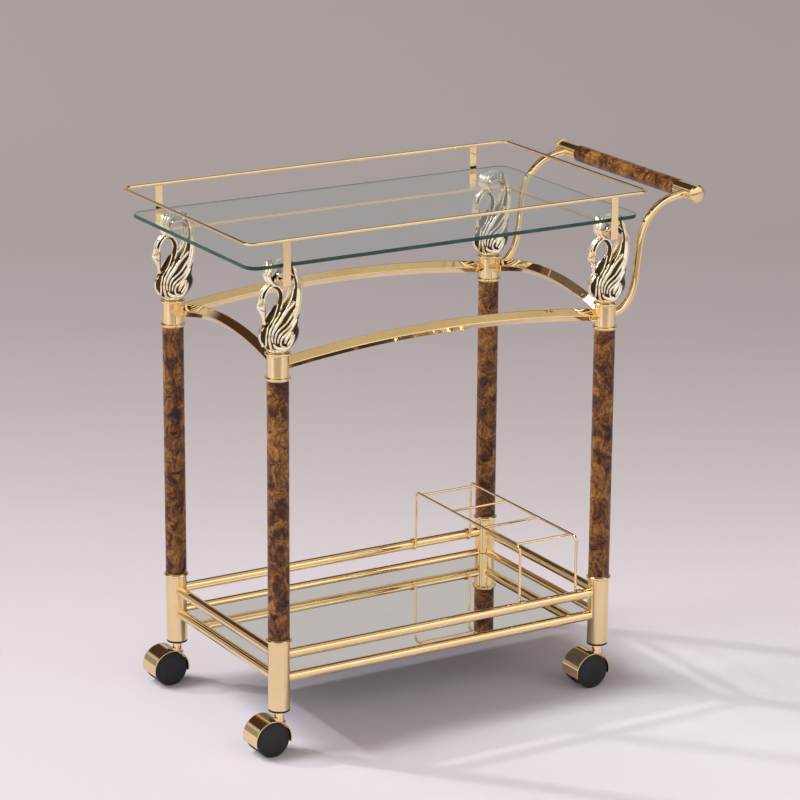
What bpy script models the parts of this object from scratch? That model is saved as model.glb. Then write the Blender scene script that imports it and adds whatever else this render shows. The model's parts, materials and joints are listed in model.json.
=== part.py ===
"""Swan bar cart: four brass and burl posts on hooded casters, with a glass top in a wire gallery."""

import math

import bmesh
import bpy
import numpy as np
from mathutils import Matrix, Vector

MM = 0.001

# Frame
POST_SPAN_X = 556 * MM
POST_SPAN_Y = 328 * MM
POST_RADIUS = 16 * MM
TUBE_WALL = 1.5 * MM
GAP = 0.3 * MM
COLLAR_BOTTOM = 67 * MM
LOWER_BEAD_Z = 173 * MM
MIDDLE_BEAD_Z = 569 * MM
UPPER_BEAD_Z = 605.5 * MM
BEAD_RADIUS = 19 * MM
BEAD_HALF = 3 * MM
SPIGOT_LENGTH = 20 * MM
POST_SIDES = 14

# Arched rails under the swans: square tube turned on edge
ARCH_END_Z = 587 * MM
ARCH_HALF_DIAGONAL = 10 * MM
ARCH_WALL = 1.2 * MM
ARCH_RISE_LONG = 20 * MM
ARCH_RISE_SHORT = 27 * MM
ARCH_STEPS = 9
ARCH_END_GAP = 0.9 * MM

# Round rails of the lower tier
GUARD_RAIL_Z = 148.5 * MM
SHELF_RAIL_Z = 112.5 * MM
RAIL_RADIUS = 7.5 * MM
RAIL_WALL = 1.2 * MM
RAIL_SIDES = 12

# Mirror shelf and the tabs that carry it
MIRROR_TOP = 114.5 * MM
MIRROR_THICKNESS = 5 * MM
MIRROR_CLEARANCE = 0.8 * MM
TAB_WIDTH = 22 * MM
TAB_REACH = 15 * MM
TAB_THICKNESS = 2.5 * MM

# Glass top and gallery, which sit a little towards the end without the handle
TRAY_SHIFT = -7 * MM
GLASS_LENGTH = 656 * MM
GLASS_WIDTH = 380 * MM
GLASS_THICKNESS = 5.5 * MM
GLASS_TOP = 741.5 * MM
GLASS_CORNER = 20 * MM
GALLERY_LENGTH = 668.6 * MM
GALLERY_WIDTH = 396.6 * MM
GALLERY_Z = 777 * MM
GALLERY_CORNER = 14 * MM
ROD_RADIUS = 2.5 * MM
STRAP_WIDTH = 12 * MM
STRAP_THICKNESS = 2.5 * MM
STRAP_BOTTOM = 711 * MM
STRAP_X = 274.5 * MM

# Bottle rack at the handle end
RACK_X = (142 * MM, 243 * MM)
RACK_LEG_Y = 153.1 * MM
RACK_TOP = 239 * MM
RACK_BARS_Y = (-136.5 * MM, -45.5 * MM, 45.5 * MM, 136.5 * MM)
RACK_WIRE = 2 * MM
RACK_BEND = 8 * MM
BEND_STEPS = 2
CLIP_WIDTH = 6 * MM
CLIP_THICKNESS = 1.5 * MM

# Push handle
ARM_RADIUS = 6 * MM
ARM_WALL = 1.2 * MM
ARM_SIDES = 8
BAR_X = 426 * MM
BAR_Z = 759 * MM
BAR_RADIUS = 12 * MM
BAR_HALF = 182 * MM
SLEEVE_RADIUS = 12.9 * MM
SLEEVE_HALF = 134 * MM
CAP_RADIUS = 13.8 * MM
CAP_DOME = 7 * MM

# Hooded twin-wheel casters
WHEEL_RADIUS = 27 * MM
WHEEL_SIDES = 18
WHEEL_AXIS_Z = WHEEL_RADIUS * math.cos(math.pi / WHEEL_SIDES)
CASTER_TRAIL = 19.5 * MM
CASTER_HALF_WIDTH = 21 * MM
WHEEL_INNER_Y = 4.5 * MM
WHEEL_OUTER_Y = 20.5 * MM
AXLE_RADIUS = 3 * MM
AXLE_HALF = 15 * MM
HOOD_OUTER = 29.7 * MM
HOOD_INNER = 28.3 * MM
HOOD_DROP = math.radians(13)
HOOD_STEPS = 11
BAY_SIDES = 18
WEB_HALF = 3.5 * MM
NECK_RADIUS = 7 * MM
STEM_RADIUS = 5 * MM
STEM_TOP = 84 * MM
BUSH_FLANGE = 2.5 * MM
BUSH_PLUG = 18 * MM

# Cast swan, with its heights measured from the middle of the upper bead
SWAN_BASE = BEAD_HALF + GAP
SWAN_FOOT = 6.5 * MM
SWAN_HEIGHT = GLASS_TOP - GLASS_THICKNESS - GAP - UPPER_BEAD_Z
SWAN_STUD_RADIUS = 6 * MM
SWAN_STUD_BOTTOM = -20 * MM
SWAN_FOOT_RADIUS = 15 * MM
SWAN_HALF_LENGTH = 31.5 * MM
SWAN_HALF_WIDTH = 19 * MM
SWAN_BELLY = 3.5 * MM
SWAN_BACK = 53 * MM
SWAN_BELLY_ANGLE = math.radians(40)
SWAN_LEAN = 1.5 * MM

CORNERS = {"fl": (-1, -1), "fr": (1, -1), "bl": (-1, 1), "br": (1, 1)}
LEFT_END = TRAY_SHIFT - GALLERY_LENGTH / 2 - ROD_RADIUS
RIGHT_END = BAR_X + CAP_RADIUS

for old in list(bpy.data.objects):
    bpy.data.objects.remove(old, do_unlink=True)

cart = bpy.data.objects.new("cart", None)
cart.location = (-(LEFT_END + RIGHT_END) / 2, 0, 0)
bpy.context.scene.collection.objects.link(cart)


def finish(name, colour, roughness, metallic, alpha=1.0):
    material = bpy.data.materials.new(name)
    material.use_nodes = True
    shader = material.node_tree.nodes["Principled BSDF"]
    shader.inputs["Base Color"].default_value = (*colour, 1.0)
    shader.inputs["Roughness"].default_value = roughness
    shader.inputs["Metallic"].default_value = metallic
    shader.inputs["Alpha"].default_value = alpha
    return material


BRASS = finish("polished_brass", (0.83, 0.61, 0.28), 0.12, 1.0)
CAST = finish("cast_champagne", (0.86, 0.76, 0.52), 0.14, 1.0)
BURL = finish("burl_lacquer", (0.30, 0.15, 0.06), 0.22, 0.0)
GLASS = finish("clear_glass", (0.75, 0.90, 0.85), 0.03, 0.0, 0.3)
MIRROR = finish("mirror", (0.80, 0.82, 0.82), 0.03, 1.0)
BLACK = finish("black_nylon", (0.02, 0.02, 0.022), 0.45, 0.0)
STEEL = finish("axle_steel", (0.60, 0.60, 0.60), 0.30, 1.0)


def object_from(name, mesh, material, location=(0, 0, 0), parent=cart):
    """A visible part that uses this mesh, under its parent."""
    part = bpy.data.objects.new(name, mesh)
    bpy.context.scene.collection.objects.link(part)
    if not mesh.materials:
        mesh.materials.append(material)
    part.parent = parent
    part.location = location
    return part


def mesh_from(name, points, faces):
    """A closed smooth-shaded mesh with its faces turned outwards."""
    mesh = bpy.data.meshes.new(name)
    mesh.from_pydata([tuple(p) for p in points], [], faces)
    bm = bmesh.new()
    bm.from_mesh(mesh)
    bmesh.ops.recalc_face_normals(bm, faces=bm.faces)
    bm.to_mesh(mesh)
    bm.free()
    mesh.shade_smooth()
    mesh.set_sharp_from_angle(angle=math.radians(35))
    return mesh


def lathe(name, profile, sides, phase=0.0):
    """Turns (radius, height) points about Z: a ring when the profile is closed off the axis."""
    points, rings = [], []
    for radius, height in profile:
        if radius == 0:
            rings.append([len(points)] * sides)
            points.append((0, 0, height))
            continue
        rings.append(list(range(len(points), len(points) + sides)))
        for k in range(sides):
            angle = phase + 2 * math.pi * k / sides
            points.append((radius * math.cos(angle), radius * math.sin(angle), height))
    closed = profile[0][0] != 0
    faces = []
    for i in range(len(rings) if closed else len(rings) - 1):
        a, b = rings[i], rings[(i + 1) % len(rings)]
        for k in range(sides):
            m = (k + 1) % sides
            corners = dict.fromkeys((a[k], a[m], b[m], b[k]))
            faces.append(tuple(corners))
    return mesh_from(name, points, faces)


def tangents(path, loop=False):
    if loop:
        run = np.roll(path, -1, axis=0) - np.roll(path, 1, axis=0)
    else:
        run = np.gradient(path, axis=0)
    return run / np.linalg.norm(run, axis=1)[:, None]


def tube_rings(path, widths, depths, sides, across=(0, 1, 0), phase=0.0, loop=False):
    """Elliptical rings along a path. Depth runs along the fixed direction, width in the path's plane."""
    path = np.array(path, float)
    across = np.array(across, float)
    rings = []
    for point, run, width, depth in zip(path, tangents(path, loop), widths, depths):
        normal = np.cross(across, run)
        normal /= np.linalg.norm(normal)
        angles = phase + 2 * np.pi * np.arange(sides) / sides
        ring = point + np.outer(np.cos(angles), normal) * width + np.outer(np.sin(angles), across) * depth
        rings.append(ring)
    return rings


def bridge(count, sides, first, loop=False):
    """Quads between rings of points that are stored one after another from a first index."""
    faces = []
    for i in range(count if loop else count - 1):
        a = first + i * sides
        b = first + ((i + 1) % count) * sides
        for k in range(sides):
            m = (k + 1) % sides
            faces.append((a + k, a + m, b + m, b + k))
    return faces


def sweep(name, path, widths, depths, sides, **options):
    """A solid rod along a path, or a closed ring of rod."""
    loop = options.get("loop", False)
    rings = tube_rings(path, widths, depths, sides, **options)
    faces = bridge(len(rings), sides, 0, loop)
    if not loop:
        last = (len(rings) - 1) * sides
        faces.append(tuple(range(sides)))
        faces.append(tuple(range(last, last + sides)))
    return mesh_from(name, np.vstack(rings), faces)


def to_cylinder(ring, run, centre, axis, radius):
    """Moves each point of an end ring along the run until it lies on a cylinder, as a coped end does."""
    axis = Vector(axis)
    run = Vector(run)
    moved = []
    for point in ring:
        offset = Vector(point) - Vector(centre)
        flat = offset - axis * offset.dot(axis)
        along = run - axis * run.dot(axis)
        a = along.dot(along)
        b = 2 * flat.dot(along)
        c = flat.dot(flat) - radius * radius
        root = math.sqrt(b * b - 4 * a * c)
        steps = ((-b - root) / (2 * a), (-b + root) / (2 * a))
        moved.append(Vector(point) + run * min(steps, key=abs))
    return np.array(moved)


def coped_tube(name, path, radius, wall, sides, ends, phase=0.0, across=(0, 1, 0)):
    """An open tube whose ends are coped to cylinders, each given as a centre, an axis and a radius."""
    path = np.array(path, float)
    run = tangents(path)
    shells = []
    for size in (radius, radius - wall):
        sizes = [size] * len(path)
        rings = tube_rings(path, sizes, sizes, sides, across=across, phase=phase)
        rings[0] = to_cylinder(rings[0], run[0], *ends[0])
        rings[-1] = to_cylinder(rings[-1], run[-1], *ends[1])
        shells.append(rings)
    count = len(path)
    points = np.vstack([np.vstack(rings) for rings in shells])
    faces = bridge(count, sides, 0) + bridge(count, sides, count * sides)
    for start in (0, (count - 1) * sides):
        for k in range(sides):
            m = (k + 1) % sides
            inner = start + count * sides
            faces.append((start + k, start + m, inner + m, inner + k))
    return mesh_from(name, points, faces)


def joined(name, meshes, cutters=()):
    """One mesh from several overlapping closed ones, less any cutters, by Boolean operations."""
    shapes = list(meshes) + list(cutters)
    helpers = [bpy.data.objects.new(f"{name}_piece_{i}", mesh) for i, mesh in enumerate(shapes)]
    for helper in helpers:
        bpy.context.scene.collection.objects.link(helper)
        helper.hide_render = True
    for i, other in enumerate(helpers[1:], 1):
        step = helpers[0].modifiers.new("step", "BOOLEAN")
        step.operation = "UNION" if i < len(meshes) else "DIFFERENCE"
        step.object = other
    return evaluated(name, helpers)


def evaluated(name, helpers):
    """The first helper's mesh with its modifiers applied. The helpers are removed."""
    bpy.context.view_layer.update()
    graph = bpy.context.evaluated_depsgraph_get()
    mesh = bpy.data.meshes.new_from_object(helpers[0].evaluated_get(graph))
    mesh.name = name
    for helper in helpers:
        bpy.data.objects.remove(helper, do_unlink=True)
    mesh.shade_smooth()
    mesh.set_sharp_from_angle(angle=math.radians(35))
    return mesh


def moved(mesh, offset=(0, 0, 0), turn=None):
    matrix = Matrix.Translation(offset)
    if turn:
        matrix = matrix @ turn
    mesh.transform(matrix)
    return mesh


def box(name, low, high):
    low, high = np.array(low), np.array(high)
    points = [low + (high - low) * corner for corner in np.ndindex(2, 2, 2)]
    faces = [(0, 1, 3, 2), (4, 6, 7, 5), (0, 4, 5, 1), (2, 3, 7, 6), (0, 2, 6, 4), (1, 5, 7, 3)]
    return mesh_from(name, points, faces)


def rounded_rectangle(length, width, radius, steps, height=0.0):
    """Points round a rectangle with arcs at its corners, anticlockwise seen from above."""
    outline = []
    for turn, (sx, sy) in enumerate(((1, -1), (1, 1), (-1, 1), (-1, -1))):
        for k in range(steps + 1):
            angle = math.pi / 2 * (turn - 1 + k / steps)
            x = sx * (length / 2 - radius) + radius * math.cos(angle)
            y = sy * (width / 2 - radius) + radius * math.sin(angle)
            outline.append((x, y, height))
    return outline


def plate(name, outline, bottom, top):
    """A flat sheet with this outline."""
    count = len(outline)
    points = [(x, y, z) for z in (bottom, top) for x, y, *_ in outline]
    faces = bridge(2, count, 0)
    faces.append(tuple(range(count)))
    faces.append(tuple(range(count, 2 * count)))
    return mesh_from(name, points, faces)


def bead(z):
    """The half-round ring that tops or closes a collar, from below to above."""
    return [
        (POST_RADIUS, z - BEAD_HALF),
        (BEAD_RADIUS, z - BEAD_HALF * 0.4),
        (BEAD_RADIUS, z + BEAD_HALF * 0.4),
        (POST_RADIUS, z + BEAD_HALF),
    ]


# Posts: lower collar, burl tube and upper collar
bore = POST_RADIUS - TUBE_WALL
spigot = bore - GAP
lower_collar = lathe(
    "lower_collar",
    [(POST_RADIUS, COLLAR_BOTTOM)]
    + bead(LOWER_BEAD_Z)
    + [
        (spigot, LOWER_BEAD_Z + BEAD_HALF),
        (spigot, LOWER_BEAD_Z + SPIGOT_LENGTH),
        (spigot - TUBE_WALL, LOWER_BEAD_Z + SPIGOT_LENGTH),
        (spigot - TUBE_WALL, LOWER_BEAD_Z - BEAD_HALF),
        (bore, LOWER_BEAD_Z - BEAD_HALF - TUBE_WALL),
        (bore, COLLAR_BOTTOM),
    ],
    POST_SIDES,
)
burl_low = LOWER_BEAD_Z + BEAD_HALF + GAP
burl_high = MIDDLE_BEAD_Z - BEAD_HALF - GAP
burl_tube = lathe(
    "burl_tube",
    [(POST_RADIUS, burl_low), (POST_RADIUS, burl_high), (bore, burl_high), (bore, burl_low)],
    POST_SIDES,
)
collar_floor = UPPER_BEAD_Z - BEAD_HALF
upper_collar = lathe(
    "upper_collar",
    [(spigot - TUBE_WALL, MIDDLE_BEAD_Z - SPIGOT_LENGTH), (spigot, MIDDLE_BEAD_Z - SPIGOT_LENGTH)]
    + [(spigot, MIDDLE_BEAD_Z - BEAD_HALF)]
    + bead(MIDDLE_BEAD_Z)
    + bead(UPPER_BEAD_Z)
    + [
        (SWAN_STUD_RADIUS + GAP, UPPER_BEAD_Z + BEAD_HALF),
        (SWAN_STUD_RADIUS + GAP, collar_floor),
        (spigot - TUBE_WALL, collar_floor - TUBE_WALL),
    ],
    POST_SIDES,
)


# Swan: heights run from the middle of the upper bead, and x and y from the post's axis
def swan_body(sides, rings):
    """The egg-shaped body on its foot and stud, drawn narrower across the cart."""
    profile = [
        (0, SWAN_STUD_BOTTOM),
        (SWAN_STUD_RADIUS, SWAN_STUD_BOTTOM),
        (SWAN_STUD_RADIUS, SWAN_BASE),
        (SWAN_FOOT_RADIUS, SWAN_BASE),
        (SWAN_FOOT_RADIUS, SWAN_FOOT),
    ]
    for k in range(rings):
        angle = SWAN_BELLY_ANGLE + (math.pi - SWAN_BELLY_ANGLE) * k / rings
        height = SWAN_BELLY + (SWAN_BACK - SWAN_BELLY) * (1 - math.cos(angle)) / 2
        profile.append((SWAN_HALF_LENGTH * math.sin(angle), height))
    profile.append((0, SWAN_BACK))
    body = lathe("swan_body", profile, sides)
    for vertex in body.vertices:
        if vertex.co.z > SWAN_FOOT + 0.5 * MM:
            vertex.co.y *= SWAN_HALF_WIDTH / SWAN_HALF_LENGTH
            vertex.co.x += SWAN_LEAN
    return body


# Knots in the swan's middle plane: x, z, half width in that plane, half depth across it, in millimetres
NECK_KNOTS = [
    (-8, 18, 10.0, 9.0),
    (-10, 36, 11.5, 10.0),
    (-7.5, 50, 8.8, 8.8),
    (-2, 61, 7.2, 7.2),
    (3.4, 73, 5.4, 5.6),
    (5, 85, 4.6, 4.8),
    (0, 95.5, 4.1, 4.4),
    (-9, 99.4, 4.1, 4.4),
    (-18.5, 94.5, 4.4, 4.4),
    (-24.6, 85, 5.2, 4.8),
    (-26, 73.5, 7.4, 5.8),
    (-24, 62.5, 4.8, 4.6),
    (-21.8, 52, 2.8, 2.8),
    (-20.3, 39, 1.8, 2.4),
]
HOOK_KNOTS = [
    (29, 97, 4.0, 5.0),
    (23.5, 109.5, 3.4, 6.5),
    (14.5, 116.5, 3.4, 7.5),
    (4, 116.5, 3.4, 7.5),
    (-4, 110.5, 3.4, 6.5),
    (-8, 101, 3.2, 4.5),
]
CREST_KNOTS = [
    (-8.5, 101, 3.6, 5.0),
    (-15, 108, 3.8, 8.0),
    (-17, 117, 3.6, 9.0),
    (-12.5, 125.5, 3.2, 8.5),
    (-4.5, 130.5, 2.4, 7.0),
]


def swan_rod(name, knots, sides):
    """A curved limb of the swan in its middle plane."""
    knots = np.array(knots) * MM
    path = np.column_stack([knots[:, 0], np.zeros(len(knots)), knots[:, 1]])
    return sweep(name, path, knots[:, 2], knots[:, 3], sides)


# Knots of a wing's middle line: x, distance from the swan's middle plane, z, half width, half depth
WING_KNOTS = [
    (3.3, 12.0, 25.0, 19.5, 8.5),
    (4.0, 12.0, 37.0, 21.0, 8.0),
    (11.5, 11.0, 51.5, 17.8, 7.0),
    (20.5, 9.0, 66.0, 12.8, 6.0),
    (26.5, 7.0, 79.5, 9.4, 5.5),
    (29.6, 5.5, 94.0, 7.2, 5.0),
    (28.0, 5.0, 107.0, 5.2, 4.6),
    (24.5, 4.6, 117.0, 3.9, 4.2),
    (20.5, 4.2, 129.0, 1.6, 2.6),
]
# Height of the feather ridges across half of a wing, from its middle line to its edge, in millimetres
FEATHERS = [(0.0, 1.0), (0.25, -0.6), (0.5, 1.2), (0.75, -0.6), (1.0, 0.4)]
CAP_STEPS = 4


def wing_frames():
    """Frames down the wing's left edge, round its foot and up its right edge, for nested feathers."""
    knots = np.array(WING_KNOTS) * MM
    middle = knots[:, [0, 2]]
    run = tangents(middle)
    normal = np.column_stack([-run[:, 1], run[:, 0]])
    frames = []
    for i in range(len(knots) - 1, 0, -1):
        frames.append((middle[i], normal[i], knots[i]))
    for k in range(CAP_STEPS + 1):
        angle = math.pi * k / CAP_STEPS
        spoke = normal[0] * math.cos(angle) - run[0] * math.sin(angle)
        frames.append((middle[0], spoke, knots[0]))
    for i in range(1, len(knots)):
        frames.append((middle[i], -normal[i], knots[i]))
    return frames


def swan_wing(side):
    """One wing with feather ridges that run round its foot and sweep up into the tip."""
    frames = wing_frames()
    rows, points = [], []
    for centre, spoke, (_, away, _, half_width, half_depth) in frames:
        row = []
        for f, ridge in FEATHERS:
            x, z = centre + spoke * f * half_width
            bulge = half_depth * math.sqrt(1 - f * f) + ridge * MM * min(1.0, half_width / (9 * MM))
            row.append(len(points))
            points.append((x, side * (away + bulge), z))
        rows.append(row)
    back = []
    for centre, spoke, (_, away, _, half_width, half_depth) in frames:
        x, z = centre + spoke * 0.55 * half_width
        back.append(len(points))
        points.append((x, side * (away - half_depth * 0.75), z))
    last = len(FEATHERS) - 1
    faces = []
    for a, b, c, d in zip(rows, rows[1:], back, back[1:]):
        for k in range(last):
            faces.append(tuple(dict.fromkeys((a[k], a[k + 1], b[k + 1], b[k]))))
        faces.append((a[last], c, d, b[last]))
    count = len(frames)
    spine = (count - 1 - CAP_STEPS) // 2
    for i in range(spine):
        faces.append((back[i], back[i + 1], back[count - 2 - i], back[count - 1 - i]))
    faces.append(tuple(back[spine : spine + CAP_STEPS + 1]))
    left, right = rows[0], rows[-1]
    faces.append(tuple(left + [back[0], back[-1]] + right[::-1][:-1]))
    mesh = bpy.data.meshes.new("wing")
    mesh.from_pydata(points, [], faces)
    bm = bmesh.new()
    bm.from_mesh(mesh)
    bmesh.ops.remove_doubles(bm, verts=bm.verts, dist=0.01 * MM)
    bmesh.ops.recalc_face_normals(bm, faces=bm.faces)
    bm.to_mesh(mesh)
    bm.free()
    return mesh


def below_glass(mesh):
    """Flattens whatever reaches past the glass's underside."""
    for vertex in mesh.vertices:
        vertex.co.z = min(vertex.co.z, SWAN_HEIGHT)
    return mesh


swan = joined(
    "swan",
    [
        swan_body(10, 5),
        swan_rod("neck", NECK_KNOTS, 6),
        swan_rod("hook", HOOK_KNOTS, 6),
        below_glass(swan_rod("crest", CREST_KNOTS, 6)),
        swan_wing(-1),
        swan_wing(1),
    ],
)


# Casters: bush, hood with neck and stem, axle and two wheels
caster_bush = lathe(
    "caster_bush",
    [
        (POST_RADIUS, COLLAR_BOTTOM - GAP - BUSH_FLANGE),
        (POST_RADIUS, COLLAR_BOTTOM - GAP),
        (spigot, COLLAR_BOTTOM - GAP),
        (spigot, COLLAR_BOTTOM + BUSH_PLUG),
        (STEM_RADIUS + GAP, COLLAR_BOTTOM + BUSH_PLUG),
        (STEM_RADIUS + GAP, COLLAR_BOTTOM - GAP - BUSH_FLANGE),
    ],
    POST_SIDES,
)
caster_axle = lathe(
    "caster_axle",
    [(0, -AXLE_HALF), (AXLE_RADIUS, -AXLE_HALF), (AXLE_RADIUS, AXLE_HALF), (0, AXLE_HALF)],
    8,
)
axle_hole = AXLE_RADIUS + GAP
wheel = lathe(
    "wheel",
    [
        (0, WHEEL_OUTER_Y),
        (WHEEL_RADIUS - 2.5 * MM, WHEEL_OUTER_Y - 0.8 * MM),
        (WHEEL_RADIUS, WHEEL_OUTER_Y - 3 * MM),
        (WHEEL_RADIUS, WHEEL_INNER_Y),
        (axle_hole, WHEEL_INNER_Y),
        (axle_hole, AXLE_HALF + GAP),
        (0, AXLE_HALF + GAP),
    ],
    WHEEL_SIDES,
    phase=math.pi / WHEEL_SIDES,
)


def arc_points(radius, start, end, steps):
    """Points (x, z) on an arc about the wheel axis, angles from the +X side over the top."""
    angles = np.linspace(start, end, steps + 1)
    return [(radius * math.cos(a), radius * math.sin(a)) for a in angles]


def upright_plate(name, outline, half_width):
    """A plate in the XZ plane, from its outline about the wheel axis."""
    points = [(x, y, z) for y in (-half_width, half_width) for x, z in outline]
    count = len(outline)
    faces = bridge(2, count, 0)
    faces.append(tuple(range(count)))
    faces.append(tuple(range(count, 2 * count)))
    return mesh_from(name, points, faces)


def hood_mesh():
    """Shell over both wheels, web between them, and the neck and stem that turn in the bush."""
    outline = arc_points(HOOD_OUTER, -HOOD_DROP, math.pi + HOOD_DROP, HOOD_STEPS)
    block = upright_plate("block", outline, CASTER_HALF_WIDTH)
    neck_top = COLLAR_BOTTOM - 2 * GAP - BUSH_FLANGE - WHEEL_AXIS_Z
    stem_top = STEM_TOP - WHEEL_AXIS_Z
    neck = lathe(
        "neck",
        [(0, 0.4 * HOOD_OUTER), (NECK_RADIUS, 0.4 * HOOD_OUTER), (NECK_RADIUS, neck_top)]
        + [(STEM_RADIUS, neck_top), (STEM_RADIUS, stem_top), (0, stem_top)],
        12,
    )
    moved(neck, (CASTER_TRAIL, 0, 0))
    bays = []
    for sign in (-1, 1):
        low, high = WEB_HALF, 1.5 * CASTER_HALF_WIDTH
        bay = lathe("bay", [(0, low), (HOOD_INNER, low), (HOOD_INNER, high), (0, high)], BAY_SIDES)
        bays.append(moved(bay, turn=Matrix.Rotation(sign * math.radians(90), 4, "X")))
    axle_bore = lathe(
        "axle_bore",
        [(0, -2 * WEB_HALF), (axle_hole, -2 * WEB_HALF), (axle_hole, 2 * WEB_HALF), (0, 2 * WEB_HALF)],
        8,
    )
    bays.append(moved(axle_bore, turn=Matrix.Rotation(math.radians(90), 4, "X")))
    return joined("caster_hood", [block, neck], bays)


caster_hood = hood_mesh()
moved(caster_hood, (-CASTER_TRAIL, 0, 0))
for corner, (sx, sy) in CORNERS.items():
    x, y = sx * POST_SPAN_X / 2, sy * POST_SPAN_Y / 2
    object_from(f"lower_collar_{corner}", lower_collar, BRASS, (x, y, 0))
    object_from(f"burl_tube_{corner}", burl_tube, BURL, (x, y, 0))
    object_from(f"upper_collar_{corner}", upper_collar, BRASS, (x, y, 0))
    object_from(f"swan_{corner}", swan, CAST, (x, y, UPPER_BEAD_Z))
    object_from(f"caster_bush_{corner}", caster_bush, BLACK, (x, y, 0))
    hood = object_from(f"caster_hood_{corner}", caster_hood, BRASS, (x, y, WHEEL_AXIS_Z))
    trail = (-CASTER_TRAIL, 0, 0)
    axle = object_from(f"caster_axle_{corner}", caster_axle, STEEL, trail, parent=hood)
    axle.rotation_euler.x = math.radians(90)
    for face, turn in (("front", 90), ("back", -90)):
        tyre = object_from(f"wheel_{face}_{corner}", wheel, BLACK, trail, parent=hood)
        tyre.rotation_euler.x = math.radians(turn)


# Arched rails between the upper collars
def arch_path(length, rise):
    """Points of a shallow circular arch along X, its ends at the height where it meets the posts."""
    radius = (length**2 / 4 + rise**2) / (2 * rise)
    half = math.asin(length / 2 / radius)
    reach = half * (1 - (POST_RADIUS + GAP) / (length / 2))
    path = []
    for k in range(ARCH_STEPS):
        angle = reach * (2 * k / (ARCH_STEPS - 1) - 1)
        path.append((radius * math.sin(angle), 0, radius * (math.cos(angle) - 1) + rise))
    return np.array(path)


def add_arch(name, span, rise, turn, location):
    path = arch_path(span, rise)
    ends = [((sign * span / 2, 0, 0), (0, 0, 1), POST_RADIUS + ARCH_END_GAP) for sign in (-1, 1)]
    mesh = coped_tube(name, path, ARCH_HALF_DIAGONAL, ARCH_WALL * math.sqrt(2), 4, ends)
    arch = object_from(name, mesh, BRASS, location)
    arch.rotation_euler.z = turn


def add_rail(name, span, turn, location, tabs):
    """A straight round rail between two collars, with the tabs that carry the mirror on its inner side."""
    reach = span / 2 - POST_RADIUS
    path = [(-reach, 0, 0), (reach, 0, 0)]
    ends = [((sign * span / 2, 0, 0), (0, 0, 1), POST_RADIUS + GAP) for sign in (-1, 1)]
    mesh = coped_tube(name, path, RAIL_RADIUS, RAIL_WALL, RAIL_SIDES, ends, phase=math.pi / RAIL_SIDES)
    high = MIRROR_TOP - MIRROR_THICKNESS - GAP - SHELF_RAIL_Z
    pieces = [mesh]
    for x in tabs:
        low = (x - TAB_WIDTH / 2, RAIL_RADIUS - 0.9 * RAIL_WALL, high - TAB_THICKNESS)
        pieces.append(box("tab", low, (x + TAB_WIDTH / 2, TAB_REACH, high)))
    if tabs:
        mesh = joined(name, pieces)
    rail = object_from(name, mesh, BRASS, location)
    rail.rotation_euler.z = turn


half_x, half_y = POST_SPAN_X / 2, POST_SPAN_Y / 2
SIDES = {
    "front": (POST_SPAN_X, 0.0, (0, -half_y), ARCH_RISE_LONG, (-150 * MM, 150 * MM)),
    "back": (POST_SPAN_X, math.pi, (0, half_y), ARCH_RISE_LONG, (-150 * MM, 150 * MM)),
    "left": (POST_SPAN_Y, -math.pi / 2, (-half_x, 0), ARCH_RISE_SHORT, (0,)),
    "right": (POST_SPAN_Y, math.pi / 2, (half_x, 0), ARCH_RISE_SHORT, (0,)),
}
for side, (span, turn, (x, y), rise, tabs) in SIDES.items():
    add_arch(f"arched_rail_{side}", span, rise, turn, (x, y, ARCH_END_Z))
    add_rail(f"guard_rail_{side}", span, turn, (x, y, GUARD_RAIL_Z), ())
    add_rail(f"shelf_rail_{side}", span, turn, (x, y, SHELF_RAIL_Z), tabs)


# Mirror shelf, notched round the collars
def notched_outline(length, width, radius, steps):
    """A rectangle with a round notch cut out of each corner round a post."""
    outline = []
    inset_x = half_x - length / 2
    inset_y = half_y - width / 2
    start = math.asin(inset_x / radius)
    stop = math.acos(inset_y / radius)
    for sx, sy in ((1, -1), (1, 1), (-1, 1), (-1, -1)):
        arc = []
        for k in range(steps + 1):
            angle = start + (stop - start) * k / steps
            arc.append((sx * (half_x - radius * math.sin(angle)), sy * (half_y - radius * math.cos(angle))))
        outline += arc[::-1] if sx * sy < 0 else arc
    return outline


mirror_inset = RAIL_RADIUS + MIRROR_CLEARANCE
mirror_outline = notched_outline(
    POST_SPAN_X - 2 * mirror_inset, POST_SPAN_Y - 2 * mirror_inset, POST_RADIUS + 1 * MM, 5
)
mirror = plate("mirror_shelf", mirror_outline, MIRROR_TOP - MIRROR_THICKNESS, MIRROR_TOP)
object_from("mirror_shelf", mirror, MIRROR)

# Glass top
glass_outline = rounded_rectangle(GLASS_LENGTH, GLASS_WIDTH, GLASS_CORNER, 5)
glass = plate("glass_top", glass_outline, GLASS_TOP - GLASS_THICKNESS, GLASS_TOP)
object_from("glass_top", glass, GLASS, (TRAY_SHIFT, 0, 0))

# Gallery: rod frame with a strap down to each swan
rod_path = np.array(rounded_rectangle(GALLERY_LENGTH, GALLERY_WIDTH, GALLERY_CORNER, 4, GALLERY_Z))
sizes = [ROD_RADIUS] * len(rod_path)
rod = sweep("rod", rod_path, sizes, sizes, 6, across=(0, 0, 1), loop=True)
pieces = [rod]
for corner, (sx, sy) in CORNERS.items():
    x = sx * STRAP_X
    y = sy * GALLERY_WIDTH / 2
    half = STRAP_THICKNESS / 2
    low = (x - STRAP_WIDTH / 2, y - half, STRAP_BOTTOM)
    pieces.append(box("strap", low, (x + STRAP_WIDTH / 2, y + half, GALLERY_Z)))
object_from("gallery_frame", joined("gallery_frame", pieces), BRASS, (TRAY_SHIFT, 0, 0))


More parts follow.
